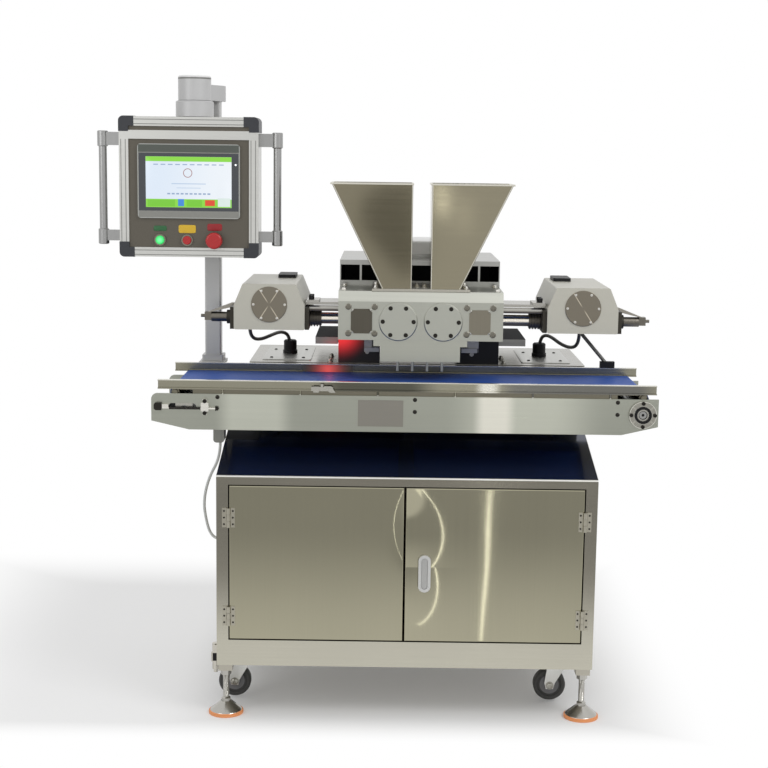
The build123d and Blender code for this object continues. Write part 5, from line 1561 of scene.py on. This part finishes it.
        # painted shade: the block under the hood is near black
        under_hood = Patch(self.inside, y=(self.hood_front, None), z=(self.hood_low, None))
        # painted shade: the left side plate darker than the right
        right = Patch(self.brown_plate, (self.middle, None))
        dress(frame, {
            "head_block": Patched("head_block_finish", self.block_steel, (bevel, under_hood)),
            "valve_covers": self.covers(),
            "head_side_plates": Patched("side_plate_pair", self.dark_plate, (right,)),
            "nozzle_manifold": self.manifold_steel,
            "hoppers": self.hopper_pair(),
            "hopper_flange": self.flange_steel,
            "head_pedestals": self.pedestals(),
        })
        cap = socket_head(0.0052, 0.0016).facing(Axis.Y, -1)
        middles = [(x, self.valve_front, self.valve_level) for x in self.pair(self.valve_offset)]
        rings = np.vstack([circle_of(middle, self.valve_screws, 6) for middle in middles])
        put("valve_cover_screws", cap, rings, DARK_SCREW)
        bolt = socket_head(0.0074, 0.004).facing(Axis.Y, -1)
        put("side_plate_bolts", bolt, self.four(self.plate_level, self.plate_bolts), self.bolt_steel)
        small = dome_head(0.0026, 0.0026).facing(Axis.Y, -1)
        put("side_plate_screws", small, self.four(self.valve_level, self.plate_screws), BRIGHT)
        level = self.hopper_levels[0]
        rows = self.plan(*self.inner_nuts, level) + self.plan(*self.outer_nuts, level)
        put("hopper_flange_nuts", hex_head(0.0055, 0.006), rows, BRIGHT)
        rows = self.plan(*self.top_bolts, self.block_top)
        put("head_top_bolts", hex_head(0.0055, 0.0055), rows, BRIGHT)
        grip = hex_head(0.0042, 0.004).facing(Axis.Y, -1)
        put("clamp_bolts", grip, self.clamp_bolts, SCREW)


@dataclass
class Drives:
    """The two piston drives, the rods to the head and the stay."""

    middles: tuple[float, float] = (-336.0, 417.0)
    cover_level: float = 992.0
    cover_front: float = 127.0
    screw_circle: float = 37.6
    rod_middle: float = 949.0
    guide_middle: float = 979.5
    flange_top: float = 990.0
    tail_starts: tuple[float, float] = (-420.0, 500.0)
    collar_xs: tuple[float, float] = (-227.0, 308.0)
    collar_half: float = 14.5
    collar_y: Span = (188.0, 232.0)
    collar_z: Span = (931.0, 975.0)
    clamp_top: float = 843.5
    gusset_outline: tuple[tuple[float, float], ...] = ((0, 988), (12, 988), (70, 965), (64, 965), (0, 980))
    gusset_starts: tuple[float, float] = (-421.0, 502.0)
    gusset_ys: tuple[float, float] = (200.0, 220.0)
    housing_grey: Finish = Satin("housing_paint", tone(188, 186, 175), 0.3, 0.36, 0.03, 420.0, 0.0001)
    guide_steel: Finish = Brushed("guide_steel", tone(166, 164, 158), Axis.X, 0.28, 0.08, 0.1, 300.0)
    rod_steel: Finish = Brushed("rod_steel", tone(240, 234, 222), Axis.X, 0.2, 0.04, 0.04, 300.0)
    # painted shade: the lower halves of the rods and guides darker and duller than their bright steel
    rod_under: Finish = Satin(
        "rod_lower_half_painted_shade", tone(120, 113, 102), 0.1, 0.45, 0.03, 300.0, 0.00003, mirror=0.2
    )
    flange_coat: Finish = Satin("flange_coat", tone(60, 57, 50), 0.3, 0.4, 0.12, 420.0, mirror=0.25)
    stay_steel: Finish = Satin("stay_steel", tone(96, 95, 92), 0.6, 0.35)
    tail_steel: Finish = Brushed("tail_steel", tone(112, 108, 100), Axis.X, 0.34, 0.08, 0.1, 300.0)
    collar_steel: Finish = Brushed("collar_steel", tone(98, 91, 80), Axis.X, 0.36, 0.08, 0.1, 300.0, 0.35)
    gusset_steel: Finish = Brushed("gusset_steel", tone(150, 146, 137), Axis.X, 0.3, 0.06, 0.08, 300.0)

    def discs(self) -> Finish:
        """Finish of the round covers: rings about their middles, with painted highlight rays.

        Returns:
            The finish.
        """
        left, right = (at(x, 0, 0)[0] for x in self.middles)
        return Turned(
            "drive_cover_steel",
            tone(126, 120, 108),
            (left, right),
            self.cover_level * MM,
            # painted highlight: bright rays across the turned covers
            cross=1.8,
            rough=0.36,
            cross_half=0.0015,
        )

    def build(self, frame: dict[str, Any]) -> None:
        """Dresses the drives, and sets the screws of their covers and the gussets.

        Args:
            frame: The loaded frame.
        """
        left, right = self.tail_starts
        tails = (Patch(self.tail_steel, (None, left)), Patch(self.tail_steel, (right, None)))
        # painted shade on the lower halves of the guides and pistons
        shade = Patch(self.rod_under, z=(None, self.guide_middle), soft=2.0)
        under = Patch(self.rod_under, z=(None, self.rod_middle), soft=3.0)
        rod = Patched("piston_steel", self.rod_steel, (under,))
        spans = [(x - self.collar_half, x + self.collar_half) for x in self.collar_xs]
        collars = [Patch(self.collar_steel, span, self.collar_y, self.collar_z) for span in spans]
        coat = Patch(self.flange_coat, z=(None, self.flange_top))
        clamp = Patch(BLACK, z=(None, self.clamp_top))
        dress(frame, {
            "drive_housings": self.housing_grey,
            "drive_covers": self.discs(),
            "drive_flanges": Patched("flanges_and_collars", BLACK_METAL, (coat, *collars)),
            "drive_guides": Patched("guides_and_tails", self.guide_steel, (shade, *tails)),
            "piston_left": rod,
            "piston_right": rod,
            "stay_rod": Patched("stay_and_clamp", self.stay_steel, (clamp,)),
        })
        head = socket_head(0.003, 0.0016).facing(Axis.Y, -1)
        faces = [(x, self.cover_front, self.cover_level) for x in self.middles]
        rings = np.vstack([circle_of(face, self.screw_circle, 6) for face in faces])
        put("drive_cover_screws", head, rings, BRIGHT)
        near, far = self.gusset_ys
        for word, side, start in zip(("left", "right"), (-1, 1), self.gusset_starts):
            outline = np.array([(start + side * reach, near, z) for reach, z in self.gusset_outline])
            plate = slab(outline * MM, (far - near) * MM)
            put("drive_gusset_" + word, plate, [(0.0, 0.0, 0.0)], self.gusset_steel)


@dataclass
class RearHood:
    """Hood over the back of the head, and the chassis that carries it."""

    inside_x: Span = (-170.0, 226.0)
    inside_y: Span = (302.6, 648.5)
    inside_top: float = 1088.3
    box_low: float = 1100.4
    chassis_top: float = 882.6
    steel: Finish = Brushed("hood_steel", tone(164, 164, 160), Axis.X, 0.3, 0.06, 0.1)
    inside: Finish = Satin("hood_inside", tone(18, 18, 19), 0.2, 0.5, 0.2, 90.0)
    box_white: Finish = Satin("raised_box_paint", tone(226, 226, 224), 0.1, 0.36, 0.02, 420.0)
    chassis_steel: Finish = Brushed("chassis_steel", tone(150, 148, 140), Axis.X, 0.32)
    chassis_black: Finish = Satin("chassis_top_black", tone(17, 17, 18), 0.0, 0.7, 0.1, 300.0, mirror=0.06)

    def build(self, frame: dict[str, Any]) -> None:
        """Dresses the hood, its dark inside and the chassis.

        Args:
            frame: The loaded frame.
        """
        inside = Patch(self.inside, self.inside_x, self.inside_y, (None, self.inside_top))
        raised = Patch(self.box_white, z=(self.box_low, None))
        top = Patch(self.chassis_black, z=(self.chassis_top, None))
        dress(frame, {
            "rear_hood": Patched("hood_finish", self.steel, (inside, raised)),
            "rear_chassis": Patched("chassis_finish", self.chassis_steel, (top,)),
        })


@dataclass
class AirInlet:
    """Ball valve low on the left side, with its lever."""

    sleeve_top: float = 138.0
    body_steel: Finish = Brushed("valve_nickel", tone(198, 194, 184), Axis.Z, 0.3, 0.08, 0.1, 400.0)

    def build(self, frame: dict[str, Any]) -> None:
        """Dresses the valve and its lever, which has a black sleeve under its bare top.

        Args:
            frame: The loaded frame.
        """
        bare = Patch(self.body_steel, z=(self.sleeve_top, None))
        lever = Patched("sleeved_lever", BLACK, (bare,))
        dress(frame, {"air_valve": self.body_steel, "air_valve_lever": lever})


@dataclass(frozen=True)
class Tile:
    """A coloured field of the display, in shares of its width and height."""

    colour: Colour
    left: float
    right: float
    low: float
    high: float


@dataclass(frozen=True)
class Screen(Finish):
    """Lit display page: a pale ground that brightens to one side, with coloured fields and a ring on it."""

    middle: tuple[float, float]
    width: float
    height: float
    ground: Colour
    ground_far: Colour
    tiles: tuple[Tile, ...]
    ring_colour: Colour = (0.35, 0.12, 0.1)
    ring_place: tuple[float, float] = (0.49, 0.68)
    ring_radius: float = 0.011
    ring_line: float = 0.0016
    dots: float = 9000.0

    def shader(self, graph: Graph) -> Wire:
        """Emission that is the ground, replaced inside each field and on the ring by their colours.

        Args:
            graph: The graph of the material.

        Returns:
            The surface.
        """
        x, _, z = graph.place()
        across = (x - (self.middle[0] - self.width / 2)) / self.width
        up = (z - (self.middle[1] - self.height / 2)) / self.height
        page = graph.mix(self.ground, self.ground_far, graph.step(across, 0.1, 0.95))
        for tile in self.tiles:
            inside = across.between(tile.left, tile.right, 0.003) * up.between(tile.low, tile.high, 0.004)
            page = graph.mix(page, tile.colour, inside)
        side = (across - self.ring_place[0]) * self.width
        rise = (up - self.ring_place[1]) * self.height
        line = graph.length(side, rise).between(self.ring_radius - self.ring_line, self.ring_radius)
        page = graph.mix(page, self.ring_colour, line)
        grid = graph.math("SINE", x * self.dots) * graph.math("SINE", z * self.dots)
        return graph.principled(
            Base_Color=(0.01, 0.01, 0.012),
            Roughness=0.12 + grid * 0.02,
            Emission_Color=graph.shade(page, 1.0 + grid * 0.04),
            Emission_Strength=0.92,
        )


@dataclass
class Pendant:
    """Swivelling operator panel with display, controls and handles."""

    middle: float = -538.0
    face: float = 220.0
    bar_face: float = 217.0
    bar_levels: tuple[float, float] = (1097.0, 1412.0)
    bar_xs: tuple[float, float] = (-707.0, -392.0)
    groove_starts: tuple[float, float] = (4.0, 15.0)
    groove_width: float = 1.8
    groove_x: Span = (-671.0, -405.0)
    groove_z: Span = (1133.0, 1380.0)
    screen_level: float = 1278.5
    screen_size: tuple[float, float] = (208.0, 122.0)
    glass_front: float = 213.0
    glass_half: float = 121.0
    glass_levels: tuple[float, float] = (1209.0, 1348.0)
    brow_low: float = 1350.0
    rim_half: float = 122.0
    rim_levels: tuple[float, float] = (1193.0, 1368.0)
    lamp_place: Point = (-424.0, 213.0, 1321.0)
    button_xs: tuple[float, float, float] = (-609.0, -543.0, -476.0)
    button_level: float = 1138.0
    ring_radius: float = 15.0
    cap_low: float = 1530.5
    cap_groove: Span = (1525.5, 1529.0)
    arm_low: float = 1475.0
    bar_aluminium: Finish = Brushed("bar_aluminium", tone(200, 200, 196), Axis.X, 0.36, 0.05, 0.06)
    panel_olive: Finish = Satin("panel_paint", tone(92, 87, 77), 0.25, 0.4, 0.05, 500.0)
    ring_steel: Finish = Brushed("ring_steel", tone(126, 122, 110), Axis.Y, 0.25, 0.08, 0.08, 500.0)
    bezel_grey: Finish = Satin("bezel_grey", tone(136, 136, 131), 0.3, 0.36, 0.04, 500.0)
    brow_grey: Finish = Satin("bezel_brow", tone(82, 87, 81), 0.2, 0.4, 0.04, 500.0)
    # painted highlight: a paler band all round the bezel's edge
    rim_painted_highlight: Finish = Satin("bezel_rim_painted_highlight", tone(168, 170, 166), 0.3, 0.34, 0.04, 500.0)
    glass: Finish = Satin("display_glass", tone(44, 49, 56), 0.0, 0.08, 0.04, 60.0, 0.00001, 0.6)
    handle: Finish = Brushed("handle_aluminium", tone(158, 158, 157), Axis.Z, 0.32, 0.06, 0.06, 240.0)
    # painted shade: darker lines stand for the grooves in the bars and under the arm's rim
    groove_painted_shade: Finish = Satin("groove_painted_shade", tone(122, 122, 119), 0.3, 0.45, 0.04, 400.0)
    cap_white: Finish = Satin("cap_white", tone(238, 238, 237), 0.0, 0.36, 0.02, 300.0)
    arm_paint: Finish = Satin("arm_paint", tone(190, 190, 190), 0.1, 0.36, 0.03, 300.0)
    red: Finish = Satin("red_cap", tone(176, 20, 24), 0.0, 0.28, 0.08, 500.0, 0.00005, 0.2)
    # black of the corner caps; also painted shade on the arm's underside
    cap_black_and_painted_shade: Finish = Satin("corner_cap_and_arm_painted_shade", tone(44, 46, 51), 0.0, 0.42, 0.1, 600.0)

    def grooves(self, edges: tuple[float, float]) -> list[Span]:
        """Two grooves on each of two bars, as spans across the bars."""
        starts = [edge + start for edge in edges for start in self.groove_starts]
        return [(start, start + self.groove_width) for start in starts]

    def bars(self) -> Finish:
        """Finish of the frame: drawn bars, each with two grooves along its front painted as dark lines of
        shade.

        Returns:
            The finish.
        """
        front = (None, self.bar_face)
        rows, columns = self.grooves(self.bar_levels), self.grooves(self.bar_xs)
        patches = [Patch(self.groove_painted_shade, self.groove_x, front, span) for span in rows]
        patches += [Patch(self.groove_painted_shade, span, front, self.groove_z) for span in columns]
        return Patched("bars_and_grooves", self.bar_aluminium, tuple(patches))

    def cap(self) -> Finish:
        """Finish of the swivel's arm: pale on top, with painted shade in a groove under the rim and on the
        underside.

        Returns:
            The finish.
        """
        top = Patch(self.cap_white, z=(self.cap_low, None))
        groove = Patch(self.groove_painted_shade, z=self.cap_groove)
        # painted shade: the arm's underside darkened
        under = Patch(self.cap_black_and_painted_shade, z=(None, self.arm_low))
        return Patched("arm_and_cap", self.arm_paint, (top, groove, under))

    def bezel(self) -> Finish:
        """Finish of the display's housing: a dark brow, a painted highlight on the rim all round and shiny
        glass.

        Returns:
            The finish.
        """
        left, right = self.middle - self.rim_half, self.middle + self.rim_half
        low, high = self.rim_levels
        wide = (self.middle - self.glass_half, self.middle + self.glass_half)
        patches = (
            Patch(self.brow_grey, z=(self.brow_low, None)),
            Patch(self.glass, wide, (None, self.glass_front + 0.4), self.glass_levels),
            # painted highlight on the bezel's four edges
            Patch(self.rim_painted_highlight, x=(None, left)),
            Patch(self.rim_painted_highlight, x=(right, None)),
            Patch(self.rim_painted_highlight, z=(None, low)),
            Patch(self.rim_painted_highlight, z=(high, None)),
        )
        return Patched("bezel_and_glass", self.bezel_grey, patches)

    def page(self) -> Finish:
        """Plain page of the display: header, footer and a row of keys, without words.

        Returns:
            The finish.
        """
        green = tone(140, 222, 60)
        deep = tone(120, 205, 45)
        line = tone(176, 200, 228)
        tiles = (
            Tile(green, 0.0, 1.0, 0.905, 1.0),
            Tile(green, 0.0, 1.0, 0.0, 0.165),
            Tile(deep, 0.02, 0.34, 0.02, 0.15),
            Tile(tone(60, 140, 225), 0.375, 0.445, 0.025, 0.165),
            Tile(deep, 0.475, 0.655, 0.02, 0.15),
            Tile(tone(228, 72, 30), 0.69, 0.805, 0.035, 0.15),
            Tile(tone(225, 240, 235), 0.84, 0.985, 0.02, 0.19),
            Tile(line, 0.30, 0.70, 0.46, 0.475),
            Tile(line, 0.36, 0.64, 0.38, 0.39),
        )
        dash = tone(150, 172, 204)
        tiles += tuple(Tile(dash, 0.09 + 0.085 * i, 0.145 + 0.085 * i, 0.835, 0.855) for i in range(10))
        tiles += tuple(Tile(dash, 0.25 + 0.052 * i, 0.285 + 0.052 * i, 0.255, 0.285) for i in range(10))
        x, _, z = at(self.middle, 0, self.screen_level)
        width, height = (size * MM for size in self.screen_size)
        pale = (tone(226, 238, 252), tone(242, 248, 254))
        return Screen("display_page", (x, z), width, height, *pale, tiles)

    def build(self, frame: dict[str, Any]) -> None:
        """Dresses the pendant and adds the page, its lamp and the bare plates over the buttons.

        Args:
            frame: The loaded frame.
        """
        lens = at(self.button_xs[0], 0, self.button_level)
        green = Lit("green_lens", tone(40, 190, 90), tone(150, 255, 190), lens, 0.011)
        back = self.face - 0.2
        middles = [(x, self.button_level) for x in self.button_xs]
        rings = tuple(Ring(self.ring_steel, x, z, 0.0, self.ring_radius, back) for x, z in middles)
        dress(frame, {
            "pendant_frame": self.bars(),
            "pendant_corners": self.cap_black_and_painted_shade,
            "pendant_panel": Patched("panel_and_rings", self.panel_olive, rings),
            "pendant_display": self.bezel(),
            "start_button": green,
            "stop_button": self.red,
            "emergency_stop": self.red,
            "pendant_handles": self.handle,
            "pendant_swivel": self.arm_paint,
            "pendant_arm": self.cap(),
        })
        width, height = (size * MM for size in self.screen_size)
        sheet = pillow(width, height, 0.0006, 0.001, 0.0003)
        rows = [(self.middle, self.glass_front, self.screen_level)]
        put("display_page_sheet", sheet, rows, self.page(), "pendant")
        white = Lit("display_lamp_white", tone(226, 232, 238), WHITE, at(*self.lamp_place), 0.004)
        lamp = dome_head(0.0024, 0.0009).facing(Axis.Y, -1)
        put("display_lamp", lamp, [self.lamp_place], white, "pendant")
        for word, x, colour, (width, height), level in (
            ("green", self.button_xs[0], tone(38, 96, 54), (32, 13), 1166),
            ("yellow", self.button_xs[1], tone(214, 176, 44), (42, 20), 1165),
            ("red", self.button_xs[2], tone(150, 26, 32), (36, 17), 1170),
        ):
            plate = pillow(width * MM, height * MM, 0.0012, 0.0045, 0.0006)
            paint = Satin(word + "_bare_plate", colour, 0.0, 0.35, 0.05, 500.0)
            put(word + "_blank", plate, [(x, self.face, level)], paint, "pendant")


Outline = tuple[tuple[float, float], ...]


@dataclass
class Studio:
    """Camera, floor, sky and lamps round the machine; outlines of cards are by x and z in mm."""

    eye: Point = (-54.65, -3487.99, 1353.73)
    yaw: float = -0.053
    pitch: float = 8.657
    roll: float = 0.761
    lens: float = 70.994
    floor_half: float = 7.0
    floor_level: float = -0.0005
    floor_grey: float = 0.86
    ambient: float = 0.56
    near_white: float = 0.1
    dim: float = 0.47
    strip_near: tuple[float, float] = (223.0, -608.0)
    strip_far: tuple[float, float] = (389.0, -2640.0)
    strip_half: float = 4.5
    strip_levels: tuple[float, float] = (2.0, 460.0)
    strip_lights: tuple[float, float] = (1.9, 5.0)
    card_y: float = -4500.0
    card_tint: Colour = (1.0, 1.0, 0.95)
    dark_outline: Outline = (
        (-71, 1174), (-163, 1124), (-200, 1064), (-194, 984), (-138, 887), (-72, 806), (-21, 725), (39, 682),
        (120, 700), (120, 1190),
    )
    bright_outline: Outline = ((211, 1190), (211, 1040), (262, 1040), (262, 1190))
    pale_outline: Outline = ((350, 1115), (352, 950), (382, 950), (380, 1115))
    plate_card_y: float = -2650.0
    plate_outline: Outline = ((330, 200), (520, 200), (520, 470), (330, 470))

    def camera(self) -> None:
        """Sets the camera: turned by the yaw, tipped down by the pitch, then rolled about its own axis."""
        yaw, pitch, roll = (math.radians(a) for a in (self.yaw, self.pitch, self.roll))
        ahead = Vector((math.sin(yaw) * math.cos(pitch), math.cos(yaw) * math.cos(pitch), -math.sin(pitch)))
        level = Vector((math.cos(yaw), -math.sin(yaw), 0.0))
        upright = level.cross(ahead)
        right = math.cos(roll) * level + math.sin(roll) * upright
        up = math.cos(roll) * upright - math.sin(roll) * level
        camera = bpy.data.objects.new("camera", bpy.data.cameras.new("camera"))
        camera.data.lens = self.lens
        camera.data.sensor_width = 36.0
        camera.data.clip_end = 60.0
        turn = Matrix((right, up, -ahead)).transposed().to_4x4()
        camera.matrix_world = Matrix.Translation(Vector(at(*self.eye))) @ turn
        bpy.context.scene.collection.objects.link(camera)
        bpy.context.scene.camera = camera

    def seen(self, graph: Graph) -> Wire:
        """1 for rays from the camera or from a mirror or glass, 0 for others.

        Args:
            graph: The graph of a material or the world.

        Returns:
            The share.
        """
        path = graph.node("ShaderNodeLightPath")
        rays = graph.wire(path, "Is Camera Ray") + graph.wire(path, "Is Glossy Ray")
        return graph.math("MINIMUM", rays + graph.wire(path, "Is Transmission Ray"), 1.0)

    def stand(self, mesh: bpy.types.Mesh, surface: bpy.types.Material, mirrored: bool = False) -> None:
        """Stands a mesh in the studio, under its own name, that is no part of the machine.

        Args:
            mesh: The mesh.
            surface: Its material.
            mirrored: Whether only mirrors see it.
        """
        mesh.materials.append(surface)
        thing = bpy.data.objects.new(mesh.name, mesh)
        if mirrored:
            thing.visible_camera = False
            thing.visible_diffuse = False
            thing.visible_shadow = False
            thing.visible_transmission = False
        bpy.context.scene.collection.objects.link(thing)

    def floor(self) -> None:
        """Lays the floor: a pale plane, white away from the machine, that mirrors see dimmed in a band."""
        line = np.linspace(-self.floor_half, self.floor_half, 9)
        across, along = np.meshgrid(line, line)
        points = np.stack((across, along, np.full_like(across, self.floor_level)), axis=-1).reshape(-1, 3)
        mesh = bpy.data.meshes.new("floor")
        mesh.from_pydata(points.tolist(), [], grid_faces(9, 9, False).tolist())
        graph = Graph(bpy.data.materials.new("pale_floor"))
        x, y, _ = graph.place()
        left, right, before = MACHINE_X - x, x - MACHINE_X, y * -1.0
        far = graph.step(left, 0.35, 0.6) * 0.4 + graph.step(left, 0.9, 1.5) * 0.6
        for away, start, end in ((right, 0.40, 0.75), (before, 0.27, 0.46), (y, 0.5, 1.2)):
            far = graph.math("MAXIMUM", far, graph.step(away, start, end))
        mirror = graph.wire(graph.node("ShaderNodeLightPath"), "Is Glossy Ray")
        band = graph.step(before, 0.75, 2.3) * (1.0 - graph.step(before, 3.5, 4.4))
        grey = (self.floor_grey, self.floor_grey, self.floor_grey)
        pale = graph.shade(grey, 1.0 + graph.noise(EVEN, 60.0) * 0.02)
        matt = graph.principled(Base_Color=pale, Roughness=0.7)
        white = graph.glow(graph.shade(WHITE, 1.0 - mirror * band * self.dim))
        share = (self.near_white + far * (1.0 - self.near_white)) * self.seen(graph)
        self.stand(mesh, graph.finish(graph.blend(matt, white, share)))

    def sky(self) -> None:
        """Makes the sky white to the eye and in mirrors, and a softer light on matt surfaces."""
        world = bpy.data.worlds.new("studio_sky")
        bpy.context.scene.world = world
        graph = Graph(world)
        level = self.ambient + self.seen(graph) * (1.0 - self.ambient)
        graph.finish(graph.wire(graph.node("ShaderNodeBackground", Color=WHITE, Strength=level)))

    def card(self, name: str, corners: Sequence[Point], near: float, far: float) -> None:
        """A card that only mirrors see.

        Args:
            name: Name of the card.
            corners: Its corners in turn, in mm from the cabinet's middle, front and floor.
            near: How bright it is 0.5 m before the machine; a white sky is 1.
            far: How bright it is from 2.5 m before the machine.
        """
        mesh = bpy.data.meshes.new(name)
        mesh.from_pydata(spots(corners).tolist(), [], [tuple(range(len(corners)))])
        graph = Graph(bpy.data.materials.new(name + "_light"))
        _, y, _ = graph.place()
        level = graph.step(y * -1.0, 0.5, 2.5) * (far - near) + near
        self.stand(mesh, graph.finish(graph.glow(graph.shade(self.card_tint, level))), True)

    def cards(self) -> None:
        """Sets the strip that the doors show as a bright line, and the cards of the hoppers and plate."""
        half, (low, high) = self.strip_half, self.strip_levels
        near, far = self.strip_near, self.strip_far
        sides = ((near, -half), (near, half), (far, half), (far, -half))
        self.card("floor_strip", [(x + side, y, low) for (x, y), side in sides], *self.strip_lights)
        x, y = far
        tall = [(x - half, y, low), (x + half, y, low), (x + half, y, high), (x - half, y, high)]
        self.card("upright_strip", tall, *self.strip_lights)
        for name, outline, depth, light in (
            ("dark_card", self.dark_outline, self.card_y, 0.42),
            ("bright_card", self.bright_outline, self.card_y, 4.0),
            ("pale_card", self.pale_outline, self.card_y, 1.9),
            ("plate_card", self.plate_outline, self.plate_card_y, 1.8),
        ):
            self.card(name, [(x, depth, z) for x, z in outline], light, light)

    def lamp(self, name: str, place: Point, target: Point, size: float, power: float) -> None:
        """One square lamp aimed at a point.

        Args:
            name: Name of the lamp.
            place: Where it hangs, in metres.
            target: Point that it faces, in metres.
            size: Edge of the square, in metres.
            power: Light in watts.
        """
        light = bpy.data.lights.new(name, "AREA")
        light.size = size
        light.energy = power
        lamp = bpy.data.objects.new(name, light)
        turn = (Vector(target) - Vector(place)).to_track_quat("-Z", "Y")
        lamp.matrix_world = Matrix.Translation(Vector(place)) @ turn.to_matrix().to_4x4()
        bpy.context.scene.collection.objects.link(lamp)

    def spark(self, name: str, place: Point, colour: Colour, power: float) -> None:
        """One small round lamp.

        Args:
            name: Name of the lamp.
            place: Where it sits, in mm from the cabinet's middle, front and floor.
            colour: Colour of its light.
            power: Light in watts.
        """
        light = bpy.data.lights.new(name, "POINT")
        light.shadow_soft_size = 0.004
        light.color = colour
        light.energy = power
        lamp = bpy.data.objects.new(name, light)
        lamp.location = at(*place)
        lamp.visible_camera = False
        bpy.context.scene.collection.objects.link(lamp)

    def build(self) -> None:
        """Lays the floor and sets the sky, the cards and the lamps."""
        self.floor()
        self.sky()
        self.cards()
        middle = (0.0, 0.0, 0.8)
        self.lamp("key", (2.4, -2.4, 3.4), middle, 1.6, 60.0)
        self.lamp("fill", (-2.6, -2.8, 2.2), middle, 2.0, 22.0)
        self.spark("sensor_glow", (-197.0, 297.0, 842.0), (1.0, 0.02, 0.05), 0.02)
        bpy.context.scene.view_settings.view_transform = "Standard"


def main() -> None:
    """Loads the solids, dresses every sub-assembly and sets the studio."""
    logging.basicConfig(level=logging.INFO, format="%(name)s %(message)s")
    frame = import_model()
    studio = Studio()
    studio.camera()
    Cords().build()
    for kind in (Cabinet, Undercarriage, Conveyor, Deck, Head, RearHood, Drives, AirInlet, Pendant):
        kind().build(frame)
        log.info("%s is dressed", kind.__name__)
    studio.build()


if __name__ == "__main__":
    main()
